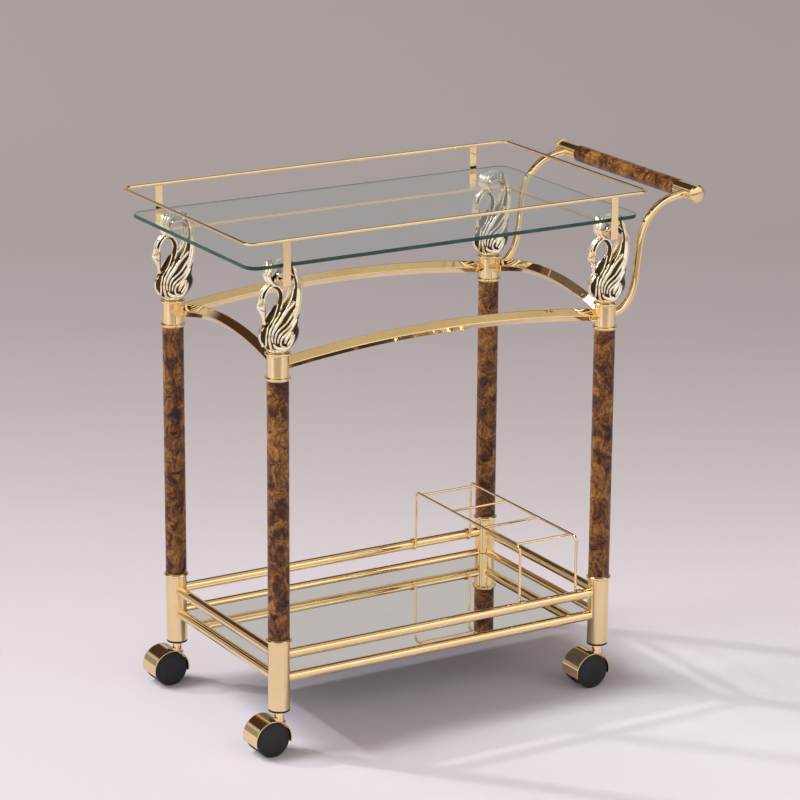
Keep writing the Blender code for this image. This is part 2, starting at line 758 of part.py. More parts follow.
# Bottle rack: two bent wires over four cross bars
def bent_wire(x):
    """One inverted U of wire across the cart, with rounded bends."""
    foot = GUARD_RAIL_Z - RAIL_RADIUS * 0.3
    path = [(x, -RACK_LEG_Y, foot)]
    for sign in (-1, 1):
        centre_y = sign * (RACK_LEG_Y - RACK_BEND)
        turn = []
        for k in range(BEND_STEPS + 1):
            angle = math.pi / 2 * k / BEND_STEPS
            y = centre_y + sign * RACK_BEND * math.cos(angle)
            turn.append((x, y, RACK_TOP - RACK_BEND + RACK_BEND * math.sin(angle)))
        path += turn if sign < 0 else turn[::-1]
    path.append((x, RACK_LEG_Y, foot))
    sizes = [RACK_WIRE] * len(path)
    return sweep("wire", path, sizes, sizes, 6, across=(1, 0, 0))


def rail_clip(x, sign):
    """A saddle that hugs the guard rail from the leg over the rail's top and under its belly."""
    start, stop, steps = math.radians(-60), math.radians(110), 6
    inner = (RAIL_RADIUS + GAP) / math.cos((stop - start) / steps / 2)
    angles = np.linspace(start, stop, steps + 1)
    ring = [(inner, a) for a in angles] + [(inner + CLIP_THICKNESS, a) for a in angles[::-1]]
    points = []
    for dx in (-CLIP_WIDTH / 2, CLIP_WIDTH / 2):
        for radius, a in ring:
            y = sign * (half_y - radius * math.cos(a))
            points.append((x + dx, y, GUARD_RAIL_Z + radius * math.sin(a)))
    count = len(ring)
    faces = bridge(2, count, 0)
    faces.append(tuple(range(count)))
    faces.append(tuple(range(count, 2 * count)))
    return mesh_from("clip", points, faces)


pieces = [bent_wire(x) for x in RACK_X]
for y in RACK_BARS_Y:
    path = [(x, y, RACK_TOP - RACK_WIRE * 0.35) for x in RACK_X]
    sizes = [RACK_WIRE * 0.9] * 2
    pieces.append(sweep("bar", path, sizes, sizes, 6, phase=math.pi / 6))
pieces += [rail_clip(x, sign) for x in RACK_X for sign in (-1, 1)]
object_from("bottle_rack", joined("bottle_rack", pieces), BRASS)


# Handle: two curved arms, the bar with its sleeve and two domed caps
def handle_arm(y):
    knots = [
        (half_x + POST_RADIUS - 1 * MM, 587 * MM),
        (308 * MM, 593 * MM),
        (322 * MM, 609 * MM),
        (331 * MM, 634 * MM),
        (335 * MM, 668 * MM),
        (340 * MM, 700 * MM),
        (352 * MM, 727 * MM),
        (378 * MM, 749 * MM),
        (BAR_X - BAR_RADIUS, 757.5 * MM),
    ]
    path = [(x, y, z) for x, z in knots]
    ends = [
        ((half_x, y, 0), (0, 0, 1), POST_RADIUS + GAP),
        ((BAR_X, y, BAR_Z), (0, 1, 0), BAR_RADIUS + GAP),
    ]
    return coped_tube("handle_arm", path, ARM_RADIUS, ARM_WALL, ARM_SIDES, ends)


for face, sign in (("front", -1), ("back", 1)):
    object_from(f"handle_arm_{face}", handle_arm(sign * half_y), BRASS)

bar_bore = BAR_RADIUS - TUBE_WALL
bar_mesh = lathe(
    "handle_bar",
    [(BAR_RADIUS, -BAR_HALF), (BAR_RADIUS, BAR_HALF), (bar_bore, BAR_HALF), (bar_bore, -BAR_HALF)],
    20,
)
sleeve_bore = BAR_RADIUS + GAP
sleeve_mesh = lathe(
    "handle_sleeve",
    [(SLEEVE_RADIUS, -SLEEVE_HALF), (SLEEVE_RADIUS, SLEEVE_HALF)]
    + [(sleeve_bore, SLEEVE_HALF), (sleeve_bore, -SLEEVE_HALF)],
    20,
)
cap_mesh = lathe(
    "handle_cap",
    [
        (0, -10 * MM),
        (bar_bore - GAP, -10 * MM),
        (bar_bore - GAP, GAP),
        (CAP_RADIUS - 0.6 * MM, GAP),
        (CAP_RADIUS, 1.2 * MM),
        (CAP_RADIUS, 2.2 * MM),
        (CAP_RADIUS * 0.86, 4.6 * MM),
        (CAP_RADIUS * 0.5, CAP_DOME * 0.92),
        (0, CAP_DOME),
    ],
    16,
)
for name, mesh, material in (("handle_bar", bar_mesh, BRASS), ("handle_sleeve", sleeve_mesh, BURL)):
    part = object_from(name, mesh, material, (BAR_X, 0, BAR_Z))
    part.rotation_euler.x = math.radians(90)
for face, sign, turn in (("front", -1, 90), ("back", 1, -90)):
    cap = object_from(f"handle_cap_{face}", cap_mesh, BRASS, (BAR_X, sign * BAR_HALF, BAR_Z))
    cap.rotation_euler.x = math.radians(turn)
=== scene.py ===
"""Looks of the swan bar cart: fine pieces and finishes over its CAD frame, with floor, light and camera."""

import json
import math

import bmesh
import bpy
import numpy as np
from mathutils import Matrix, Vector
from mathutils.bvhtree import BVHTree

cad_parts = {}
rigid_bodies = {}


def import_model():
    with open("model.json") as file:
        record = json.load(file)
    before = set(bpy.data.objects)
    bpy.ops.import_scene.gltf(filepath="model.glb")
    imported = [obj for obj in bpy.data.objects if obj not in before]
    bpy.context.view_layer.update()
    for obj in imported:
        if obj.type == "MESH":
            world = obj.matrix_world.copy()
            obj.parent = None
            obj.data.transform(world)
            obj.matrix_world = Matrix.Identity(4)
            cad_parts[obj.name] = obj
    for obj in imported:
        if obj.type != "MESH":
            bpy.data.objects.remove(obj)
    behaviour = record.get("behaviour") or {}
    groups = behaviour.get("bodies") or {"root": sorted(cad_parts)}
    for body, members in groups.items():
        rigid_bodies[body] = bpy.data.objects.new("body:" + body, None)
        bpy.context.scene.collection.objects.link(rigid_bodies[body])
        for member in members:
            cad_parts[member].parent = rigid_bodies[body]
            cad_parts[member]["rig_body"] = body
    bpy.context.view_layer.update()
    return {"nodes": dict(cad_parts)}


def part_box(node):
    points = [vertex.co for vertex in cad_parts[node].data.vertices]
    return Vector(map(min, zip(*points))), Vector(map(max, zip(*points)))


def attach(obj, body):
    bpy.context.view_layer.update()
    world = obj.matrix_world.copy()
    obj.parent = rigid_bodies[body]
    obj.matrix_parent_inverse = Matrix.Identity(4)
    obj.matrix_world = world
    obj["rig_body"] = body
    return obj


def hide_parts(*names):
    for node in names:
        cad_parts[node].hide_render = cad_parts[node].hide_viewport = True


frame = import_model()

MM = 0.001


# Sizes and places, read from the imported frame
def middle(node):
    """The centre of a CAD node's box."""
    low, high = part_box(node)
    return (low + high) / 2


CORNERS = {"fl": (-1, -1), "fr": (1, -1), "bl": (-1, 1), "br": (1, 1)}
POSTS = {corner: middle(f"burl_tube_{corner}") for corner in CORNERS}
POST_RADIUS = (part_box("burl_tube_fl")[1].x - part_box("burl_tube_fl")[0].x) / 2
CENTRE_X = (POSTS["fl"].x + POSTS["fr"].x) / 2
HALF_X = (POSTS["fr"].x - POSTS["fl"].x) / 2
HALF_Y = (POSTS["bl"].y - POSTS["fl"].y) / 2
COLLAR_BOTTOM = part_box("lower_collar_fl")[0].z
BURL_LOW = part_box("burl_tube_fl")[0].z
BURL_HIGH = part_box("burl_tube_fl")[1].z
UPPER_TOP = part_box("upper_collar_fl")[1].z
GUARD_RAIL_Z = middle("guard_rail_front").z
# Sizes that the CAD parts have too: the tube's wall, the play at each seat and the posts' beads
TUBE_WALL = 1.5 * MM
GAP = 0.3 * MM
BEAD_HALF = 3 * MM
BEAD_OUT = 3 * MM
# Rounding of edges, and the sides of a turned piece
FINE_EDGE = 0.5 * MM
COLLAR_EDGE = 0.7 * MM
SIDES = 72


# Node trees
def new_material(name):
    """A material with its node tree and Principled shader."""
    made = bpy.data.materials.new(name)
    made.use_nodes = True
    return made, made.node_tree, made.node_tree.nodes["Principled BSDF"]


def add(tree, kind, sockets=None, **settings):
    """A node with some of its sockets and settings given. A socket's value may be another node's output."""
    node = tree.nodes.new(kind)
    for key, value in settings.items():
        setattr(node, key, value)
    for key, value in (sockets or {}).items():
        if isinstance(value, bpy.types.NodeSocket):
            tree.links.new(value, node.inputs[key])
        else:
            node.inputs[key].default_value = value
    return node


def ramp(tree, factor, stops):
    """A colour ramp's output, from stops of a position with a colour or, for grey, one value."""
    node = add(tree, "ShaderNodeValToRGB", {"Fac": factor})
    elements = node.color_ramp.elements
    while len(elements) < len(stops):
        elements.new(0.5)
    for element, (position, colour) in zip(elements, stops):
        red, green, blue = colour if isinstance(colour, tuple) else (colour, colour, colour)
        element.position = position
        element.color = (red, green, blue, 1.0)
    return node.outputs["Color"]


def graded(tree, shader, socket, factor, stops):
    """Makes one of the shader's sockets follow a ramp over this factor."""
    tree.links.new(ramp(tree, factor, stops), shader.inputs[socket])


def mixed(tree, factor, first, second, blend):
    """The colour output of a Mix node, which also has outputs of other types."""
    sockets = {"Factor": factor, "A": first, "B": second}
    node = add(tree, "ShaderNodeMix", sockets, data_type="RGBA", blend_type=blend)
    return next(output for output in node.outputs if output.type == "RGBA")


def noise(tree, vector, scale, detail=3.0, roughness=0.5, distortion=0.0, output="Fac"):
    sockets = {"Vector": vector, "Scale": scale, "Detail": detail}
    sockets |= {"Roughness": roughness, "Distortion": distortion}
    return add(tree, "ShaderNodeTexNoise", sockets).outputs[output]


def dot_product(tree, vector, axis):
    """How far a vector goes along an axis."""
    node = add(tree, "ShaderNodeVectorMath", {0: vector, 1: tuple(axis)}, operation="DOT_PRODUCT")
    return node.outputs["Value"]


def places(tree):
    """Object coordinates: every piece's mesh is in the cart's own metres, so no two posts look alike."""
    return add(tree, "ShaderNodeTexCoord").outputs["Object"]


def set_values(shader, **values):
    """Plain values on the Principled shader's own sockets, with _ for a space in a name."""
    for key, value in values.items():
        shader.inputs[key.replace("_", " ")].default_value = value


def bump(tree, shader, height, strength, distance):
    node = add(tree, "ShaderNodeBump", {"Height": height, "Strength": strength, "Distance": distance})
    tree.links.new(node.outputs["Normal"], shader.inputs["Normal"])


# Finishes
def polished_metal(name, light, dark, smooth, dull):
    """Polished plate: slightly cloudy colour and shine, faint polishing waves."""
    made, tree, shader = new_material(name)
    where = places(tree)
    cloud = noise(tree, where, 22.0, detail=4.0, roughness=0.6)
    graded(tree, shader, "Base Color", cloud, [(0.35, dark), (0.65, light)])
    smudge = noise(tree, where, 60.0, detail=5.0, roughness=0.65)
    graded(tree, shader, "Roughness", smudge, [(0.4, smooth), (0.72, dull)])
    wave = noise(tree, where, 140.0, detail=2.0)
    bump(tree, shader, wave, 0.010, 0.4 * MM)
    set_values(shader, Metallic=1.0)
    return made


def cast_metal(name):
    """The swans' bright casting, with painted shade in the grooves between the feathers, where the mesh is
    hollow.
    """
    made, tree, shader = new_material(name)
    where = places(tree)
    edge = add(tree, "ShaderNodeNewGeometry").outputs["Pointiness"]
    # Painted shade: the colour turns dark where the mesh is hollow, between the feathers
    deep, middling, proud = (0.34, 0.22, 0.09), (0.88, 0.76, 0.52), (1.0, 0.94, 0.80)
    groove = ramp(tree, edge, [(0.43, deep), (0.48, middling), (0.52, proud)])
    cloud = noise(tree, where, 45.0, detail=4.0, roughness=0.6)
    tint = ramp(tree, cloud, [(0.35, (0.93, 0.84, 0.66)), (0.6, 1.0)])
    tree.links.new(mixed(tree, 1.0, groove, tint, "MULTIPLY"), shader.inputs["Base Color"])
    graded(tree, shader, "Roughness", edge, [(0.46, 0.30), (0.5, 0.09)])
    grain = noise(tree, where, 420.0)
    bump(tree, shader, grain, 0.06, 0.25 * MM)
    set_values(shader, Metallic=1.0)
    return made


def burl_lacquer():
    """Walnut burl printed on the tube: swirling figure, dark eyes and grain lines under gloss lacquer."""
    made, tree, shader = new_material("burl_lacquer")
    where = places(tree)
    flow = noise(tree, where, 30.0, detail=2.0, output="Color")
    reach = (0.035, 0.035, 0.035)
    bend = add(tree, "ShaderNodeVectorMath", {0: flow, 1: reach, 2: where}, operation="MULTIPLY_ADD")
    bent = bend.outputs["Vector"]
    figure = noise(tree, bent, 36.0, detail=5.0, roughness=0.68, distortion=0.9)
    colour = ramp(
        tree,
        figure,
        [
            (0.34, (0.027, 0.008, 0.004)),
            (0.43, (0.076, 0.023, 0.009)),
            (0.49, (0.150, 0.052, 0.014)),
            (0.56, (0.255, 0.104, 0.024)),
            (0.68, (0.385, 0.177, 0.043)),
        ],
    )
    sockets = {"Vector": bent, "Scale": 42.0, "Distortion": 9.0, "Detail": 3.0, "Detail Scale": 1.6}
    swirl = add(tree, "ShaderNodeTexWave", sockets).outputs["Fac"]
    eyes = ramp(tree, swirl, [(0.0, 0.42), (0.35, 1.0), (1.0, 1.18)])
    with_eyes = mixed(tree, 0.75, colour, eyes, "MULTIPLY")
    line = noise(tree, bent, 300.0, roughness=0.6, distortion=2.5)
    grain = ramp(tree, line, [(0.41, 0.40), (0.51, 1.0), (0.62, 1.2)])
    tree.links.new(mixed(tree, 0.9, with_eyes, grain, "MULTIPLY"), shader.inputs["Base Color"])
    bump(tree, shader, line, 0.02, 0.2 * MM)
    set_values(shader, Roughness=0.38, Coat_Weight=0.35, Coat_Roughness=0.08, Specular_IOR_Level=0.1)
    return made


def lamps_pass(tree, shader, tint):
    """Lets light from the lamps through glass, so that its shadow is a pale one."""
    output = next(n for n in tree.nodes if n.type == "OUTPUT_MATERIAL")
    clear = add(tree, "ShaderNodeBsdfTransparent", {"Color": (*tint, 1.0)})
    path = add(tree, "ShaderNodeLightPath")
    choice = {0: path.outputs["Is Shadow Ray"], 1: shader.outputs["BSDF"], 2: clear.outputs["BSDF"]}
    tree.links.new(add(tree, "ShaderNodeMixShader", choice).outputs["Shader"], output.inputs["Surface"])


def clear_glass():
    made, tree, shader = new_material("clear_glass")
    smear = noise(tree, places(tree), 9.0, detail=4.0, roughness=0.7)
    graded(tree, shader, "Roughness", smear, [(0.45, 0.0), (0.8, 0.035)])
    set_values(shader, Base_Color=(0.945, 0.985, 0.968, 1.0), IOR=1.5, Transmission_Weight=1.0)
    lamps_pass(tree, shader, (0.88, 0.93, 0.90))
    return made


def glass_edge():
    """The polished edge, where the green of the sheet shows."""
    made, tree, shader = new_material("glass_edge")
    streak = noise(tree, places(tree), 30.0, detail=4.0, roughness=0.6)
    graded(tree, shader, "Base Color", streak, [(0.3, (0.008, 0.048, 0.038)), (0.7, (0.026, 0.092, 0.075))])
    set_values(shader, Roughness=0.12, IOR=1.5, Specular_IOR_Level=0.4)
    return made


def mirror_silver():
    made, tree, shader = new_material("mirror")
    haze = noise(tree, places(tree), 14.0, detail=5.0, roughness=0.7)
    graded(tree, shader, "Roughness", haze, [(0.45, 0.006), (0.85, 0.05)])
    graded(tree, shader, "Base Color", haze, [(0.3, (0.755, 0.765, 0.745)), (0.8, (0.72, 0.73, 0.71))])
    set_values(shader, Metallic=1.0)
    return made


def grainy_plain(name, low, high, roughness, grain_scale, depth, **values):
    """A moulded or painted surface: mottled colour, fine grain and an uneven dullness."""
    made, tree, shader = new_material(name)
    where = places(tree)
    mottle = noise(tree, where, grain_scale * 0.12, detail=4.0, roughness=0.6)
    graded(tree, shader, "Base Color", mottle, [(0.3, low), (0.7, high)])
    graded(tree, shader, "Roughness", mottle, [(0.3, roughness - 0.06), (0.75, roughness + 0.08)])
    grain = noise(tree, where, grain_scale)
    bump(tree, shader, grain, 0.25, depth)
    set_values(shader, **values)
    return made


FINISHES = {
    "polished_brass": polished_metal("polished_brass", (0.94, 0.73, 0.42), (0.89, 0.67, 0.36), 0.03, 0.09),
    "cast_champagne": cast_metal("cast_champagne"),
    "burl_lacquer": burl_lacquer(),
    "clear_glass": clear_glass(),
    "mirror": mirror_silver(),
    "black_nylon": grainy_plain(
        "black_nylon",
        (0.010, 0.010, 0.011),
        (0.020, 0.020, 0.022),
        roughness=0.5,
        grain_scale=900.0,
        depth=0.15 * MM,
        Specular_IOR_Level=0.35,
    ),
    "axle_steel": polished_metal("axle_steel", (0.62, 0.61, 0.60), (0.50, 0.49, 0.48), 0.16, 0.32),
}
EDGE = glass_edge()
# Painted shade: a dark metal for the swans' flanks, undersides, crest backs, chased lines and the bed between
# the feathers
PAINTED_SHADE = polished_metal("painted_shade_metal", (0.075, 0.045, 0.018), (0.035, 0.022, 0.010), 0.18, 0.4)
BACKING = grainy_plain("mirror_backing", (0.20, 0.21, 0.22), (0.28, 0.29, 0.30), 0.6, 300.0, 0.1 * MM)
RUBBER = grainy_plain(
    "pad_rubber",
    (0.50, 0.52, 0.50),
    (0.62, 0.63, 0.61),
    roughness=0.3,
    grain_scale=200.0,
    depth=0.1 * MM,
    Transmission_Weight=0.55,
    IOR=1.45,
)
# Slots of the nodes that aren't polished brass, by how the node's name starts
SLOTS = {
    "burl_tube": "burl_lacquer",
    "swan": "cast_champagne",
    "caster_bush": "black_nylon",
    "caster_axle": "axle_steel",
    "wheel": "black_nylon",
    "glass_top": "clear_glass",
    "mirror_shelf": "mirror",
    "handle_sleeve": "burl_lacquer",
}


# Mesh code
def mesh_from(name, points, faces, smooth=50):
    """A mesh with its faces turned outwards, smooth up to this angle in degrees."""
    mesh = bpy.data.meshes.new(name)
    mesh.from_pydata([tuple(p) for p in points], [], faces)
    bm = bmesh.new()
    bm.from_mesh(mesh)
    bmesh.ops.recalc_face_normals(bm, faces=bm.faces)
    bm.to_mesh(mesh)
    bm.free()
    mesh.shade_smooth()
    mesh.set_sharp_from_angle(angle=math.radians(smooth))
    return mesh


FLAT_AREA = 10 * MM**2


def flat_faces(mesh):
    """Shades the large faces that lie square to the axes flat, so that only the edges' rounding is smooth."""
    for face in mesh.polygons:
        if face.area > FLAT_AREA and max(abs(v) for v in face.normal) > 0.999:
            face.use_smooth = False
    return mesh


def lathe(name, profile, sides=SIDES):
    """Turns (radius, height) points about Z: a ring when the profile is closed off the axis."""
    points, rings = [], []
    for radius, height in profile:
        if radius == 0:
            rings.append([len(points)] * sides)
            points.append((0, 0, height))
            continue
        rings.append(list(range(len(points), len(points) + sides)))
        for k in range(sides):
            angle = 2 * math.pi * k / sides
            points.append((radius * math.cos(angle), radius * math.sin(angle), height))
    closed = profile[0][0] != 0
    faces = []
    for i in range(len(rings) if closed else len(rings) - 1):
        a, b = rings[i], rings[(i + 1) % len(rings)]
        for k in range(sides):
            m = (k + 1) % sides
            faces.append(tuple(dict.fromkeys((a[k], a[m], b[m], b[k]))))
    return mesh_from(name, points, faces, 40)


def tube_profile(inner, outer, low, high, edge):
    """Half section of a tube, or of a pin when inner is 0, with its ends' outer edges cut back."""
    found = [(inner, low), (outer - edge, low), (outer, low + edge)]
    return found + [(outer, high - edge), (outer - edge, high), (inner, high)]


def arc(centre, radius, start, end, steps):
    """Points round an arc, with angles in degrees."""
    found = []
    for angle in np.radians(np.linspace(start, end, steps + 1)):
        found.append((centre[0] + radius * math.cos(angle), centre[1] + radius * math.sin(angle)))
    return found


def smooth_path(knots, steps):
    """Points on a Catmull-Rom curve through the knots, any number of values each."""
    knots = np.array(knots, float)
    ends = np.vstack([2 * knots[0] - knots[1], knots, 2 * knots[-1] - knots[-2]])
    found = []
    for i in range(len(knots) - 1):
        p0, p1, p2, p3 = ends[i : i + 4]
        for t in np.arange(steps) / steps:
            bend = (2 * p0 - 5 * p1 + 4 * p2 - p3) * t**2 + (3 * p1 - p0 - 3 * p2 + p3) * t**3
            found.append(0.5 * (2 * p1 + (p2 - p0) * t + bend))
    found.append(knots[-1])
    return np.array(found)


def tangents(path, loop=False):
    if loop:
        run = np.roll(path, -1, axis=0) - np.roll(path, 1, axis=0)
    else:
        run = np.gradient(path, axis=0)
    return run / np.linalg.norm(run, axis=1)[:, None]


def flats_held(section, steps):
    """Adds two points to each flat side of a section with round corners, so that the side is shaded flat."""
    held = []
    for k in range(0, len(section), steps + 1):
        start, stop = section[k + steps], section[(k + steps + 1) % len(section)]
        held += list(section[k : k + steps + 1])
        held += [start + (stop - start) * 0.05, start + (stop - start) * 0.95]
    return np.array(held)


def round_section(sides):
    """Unit circle as (across the path in its plane, along the fixed direction)."""
    angles = 2 * np.pi * np.arange(sides) / sides
    return np.column_stack([np.cos(angles), np.sin(angles)])


def sweep(name, path, section, widths, depths, across=(0, 1, 0), loop=False):
    """A closed rod along a path: the section's first value lies in the path's plane, its second across it."""
    path = np.array(path, float)
    across = np.array(across, float)
    points = []
    for point, run, width, depth in zip(path, tangents(path, loop), widths, depths):
        normal = np.cross(across, run)
        normal /= np.linalg.norm(normal)
        ring = np.outer(section[:, 0], normal) * width + np.outer(section[:, 1], across) * depth
        points += list(point + ring)
    count, sides = len(path), len(section)
    faces = []
    for i in range(count if loop else count - 1):
        a, b = i * sides, ((i + 1) % count) * sides
        for k in range(sides):
            m = (k + 1) % sides
            faces.append((a + k, a + m, b + m, b + k))
    if not loop:
        faces.append(tuple(range(sides)))
        faces.append(tuple(range((count - 1) * sides, count * sides)))
    return mesh_from(name, points, faces)


def extruded(name, path, section, **options):
    """A bar that has the same section all along its path."""
    ones = [1.0] * len(path)
    return sweep(name, path, section, ones, ones, **options)


def rod(name, path, radius, sides=24, **options):
    sizes = [radius] * len(path)
    return sweep(name, path, round_section(sides), sizes, sizes, **options)


def plate(name, outline, bottom, top, edge=0.0, edge_steps=3):
    """A flat sheet with this outline, its edge rounded off by a small radius towards the outline's middle."""
    outline = np.array(outline, float)
    run = tangents(outline, True)
    inward = np.column_stack([-run[:, 1], run[:, 0]])
    layers = [(0.0, bottom), (0.0, top)]
    if edge:
        layers = arc((edge, bottom + edge), edge, 270, 180, edge_steps)
        layers += arc((edge, top - edge), edge, 180, 90, edge_steps)
    points, count = [], len(outline)
    for inset, z in layers:
        points += [(*p, z) for p in outline + inward * inset]
    faces = []
    for i in range(len(layers) - 1):
        for k in range(count):
            m = (k + 1) % count
            faces.append((i * count + k, i * count + m, (i + 1) * count + m, (i + 1) * count + k))
    faces.append(tuple(range(count)))
    faces.append(tuple(range((len(layers) - 1) * count, len(layers) * count)))
    return flat_faces(mesh_from(name, points, faces, 40))


def block(name, low, high, edge):
    """A bar with its edges rounded off."""
    (x0, y0, z0), (x1, y1, z1) = low, high
    mesh = plate(name, [(x0, y0), (x1, y0), (x1, y1), (x0, y1)], z0, z1)
    bm = bmesh.new()
    bm.from_mesh(mesh)
    bmesh.ops.bevel(bm, geom=bm.edges[:], offset=edge, segments=3, affect="EDGES", profile=0.5)
    bm.to_mesh(mesh)
    bm.free()
    mesh.shade_smooth()
    return flat_faces(mesh)


def turned(degrees, axis="X"):
    """A turn about one of the cart's axes."""
    return Matrix.Rotation(math.radians(degrees), 4, axis)


def moved(mesh, offset, turn=None):
    """The mesh after a turn, where there is one, and a shift."""
    matrix = Matrix.Translation(offset)
    if turn:
        matrix = matrix @ turn
    mesh.transform(matrix)
    return mesh


def together(name, meshes):
    """One mesh that holds several closed shells."""
    bm = bmesh.new()
    for mesh in meshes:
        bm.from_mesh(mesh)
    made = bpy.data.meshes.new(name)
    bm.to_mesh(made)
    bm.free()
    return made


def slot_of(node):
    for start, slot in SLOTS.items():
        if node.startswith(start):
            return slot
    return "polished_brass"


def stand_for(node, mesh, materials=()):
    """A finer piece in place of a CAD node, on the node's body and in the node's material slot."""
    slot = slot_of(node)
    piece = bpy.data.objects.new(f"{node}_fine", mesh)
    bpy.context.scene.collection.objects.link(piece)
    for material in (FINISHES[slot], *materials):
        mesh.materials.append(material)
    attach(piece, frame["nodes"][node]["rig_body"])
    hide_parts(node)


def extra(name, mesh, body, material):
    """A small piece that CAD doesn't hold."""
    piece = bpy.data.objects.new(name, mesh)
    bpy.context.scene.collection.objects.link(piece)
    mesh.materials.append(material)
    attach(piece, body)


# Posts
# How far a bead goes round on either side of its middle, in degrees, and how much it is flattened
BEAD_SPAN = 62
BEAD_SQUASH = 0.8
LIP = 0.5 * MM
LIP_RADIUS = POST_RADIUS + 0.8 * MM
STUD_RADIUS = 6.3 * MM
# The caster's stem, which turns in the bush
STEM_RADIUS = 5 * MM


def bead_profile(z):
    """A half-round ring between two thin lips, from below to above."""
    low, high = z - BEAD_HALF, z + BEAD_HALF
    found = [(POST_RADIUS, low), (LIP_RADIUS, low), (LIP_RADIUS, low + LIP)]
    for x, y in arc((POST_RADIUS, z), BEAD_OUT, -BEAD_SPAN, BEAD_SPAN, 8):
        found.append((x, z + (y - z) * BEAD_SQUASH))
    return found + [(LIP_RADIUS, high - LIP), (LIP_RADIUS, high), (POST_RADIUS, high)]


def lower_collar():
    bore = POST_RADIUS - TUBE_WALL
    bead_z = BURL_LOW - BEAD_HALF - GAP
    foot = arc((POST_RADIUS - COLLAR_EDGE, COLLAR_BOTTOM + COLLAR_EDGE), COLLAR_EDGE, -90, 0, 4)
    return foot + bead_profile(bead_z) + [(bore, bead_z + BEAD_HALF), (bore, COLLAR_BOTTOM)]


def upper_collar():
    bore = POST_RADIUS - TUBE_WALL
    low_bead, high_bead = BURL_HIGH + BEAD_HALF + GAP, UPPER_TOP - BEAD_HALF
    seat = UPPER_TOP - 2 * BEAD_HALF
    found = [(bore, low_bead - BEAD_HALF)] + bead_profile(low_bead) + bead_profile(high_bead)
    return found + [(STUD_RADIUS, UPPER_TOP), (STUD_RADIUS, seat), (bore, seat - TUBE_WALL)]


def burl_tube():
    return tube_profile(POST_RADIUS - TUBE_WALL, POST_RADIUS, BURL_LOW, BURL_HIGH, 0.3 * MM)


def caster_bush():
    low, high = [corner.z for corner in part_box("caster_bush_fl")]
    flange = COLLAR_BOTTOM - GAP
    inset = POST_RADIUS - COLLAR_EDGE
    plug, hole = POST_RADIUS - TUBE_WALL - GAP, STEM_RADIUS + GAP
    rim = arc((inset, low + COLLAR_EDGE), COLLAR_EDGE, -90, 0, 4)
    rim += arc((inset, flange - COLLAR_EDGE), COLLAR_EDGE, 0, 90, 4)
    return rim + [(plug, flange), (plug, high), (hole, high), (hole, low)]


def build_posts():
    for node, profile in (
        ("lower_collar", lower_collar()),
        ("burl_tube", burl_tube()),
        ("upper_collar", upper_collar()),
        ("caster_bush", caster_bush()),
    ):
        for corner, axis in POSTS.items():
            stand_for(f"{node}_{corner}", moved(lathe(node, profile), (axis.x, axis.y, 0)))


build_posts()

# Casters
NECK_RADIUS = 7 * MM
NECK_FLARE = 2.4 * MM
NECK_FOOT = 4 * MM
NECK_COLLAR = 0.8 * MM
HOOD_OUTER = 29.7 * MM
HOOD_WALL = 1.4 * MM
HOOD_HALF_WIDTH = 21 * MM
# How far the hood reaches below the axle on either side, in degrees
HOOD_DROP = 13
WEB_HALF = 3.5 * MM
AXLE_HOLE = 3.3 * MM
AXLE_HOLE_DEPTH = 15.3 * MM
WHEEL_INNER_Y = 4.5 * MM
WHEEL_OUTER_Y = 20.5 * MM
WHEEL_SHOULDER = 2.4 * MM
# The wheels stop this far above the floor
WHEEL_LIFT = 0.05 * MM


def rounded_section(half_width, half_depth, radius, steps=3):
    """A rectangle with round corners: half_width in the path's plane, half_depth across it."""
    found = []
    for turn, (sx, sy) in enumerate(((1, 1), (-1, 1), (-1, -1), (1, -1))):
        centre = (sx * (half_width - radius), sy * (half_depth - radius))
        found += arc(centre, radius, 90 * turn, 90 * turn + 90, steps)
    return flats_held(np.array(found), steps)


def neck_profile(low, top, stem_top):
    """The hood's neck from its flared foot up to the bush, and the stem inside the bush."""
    flare, collar = NECK_RADIUS + NECK_FLARE, STEM_RADIUS + NECK_COLLAR
    found = [(0, low), (flare, low)] + arc((flare, low + NECK_FOOT + NECK_FLARE), NECK_FLARE, 270, 180, 5)
    found += [(NECK_RADIUS, top - 6 * MM), (collar, top - 2.5 * MM), (collar, top)]
    return found + [(STEM_RADIUS, top), (STEM_RADIUS, stem_top), (0, stem_top)]


def hood(corner):
    """Rolled shell over both wheels, the web between them, and the neck and stem."""
    axle, post = middle(f"caster_axle_{corner}"), POSTS[corner]
    rim = arc((0, 0), HOOD_OUTER - HOOD_WALL / 2, -HOOD_DROP, 180 + HOOD_DROP, 56)
    section = rounded_section(HOOD_WALL / 2, HOOD_HALF_WIDTH, 0.6 * MM)
    shell = moved(extruded("shell", [(x, 0, z) for x, z in rim], section), axle)
    outline = rim + [(-AXLE_HOLE, -3 * AXLE_HOLE), (AXLE_HOLE, -3 * AXLE_HOLE)]
    web = moved(plate("web", outline, -WEB_HALF, WEB_HALF, FINE_EDGE), axle, turned(90))
    neck_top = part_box("caster_bush_fl")[0].z - GAP
    stem_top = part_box(f"caster_hood_{corner}")[1].z
    neck = lathe("neck", neck_profile(axle.z + 0.55 * HOOD_OUTER, neck_top, stem_top), 48)
    return together("hood", [shell, web, moved(neck, (post.x, post.y, 0))])


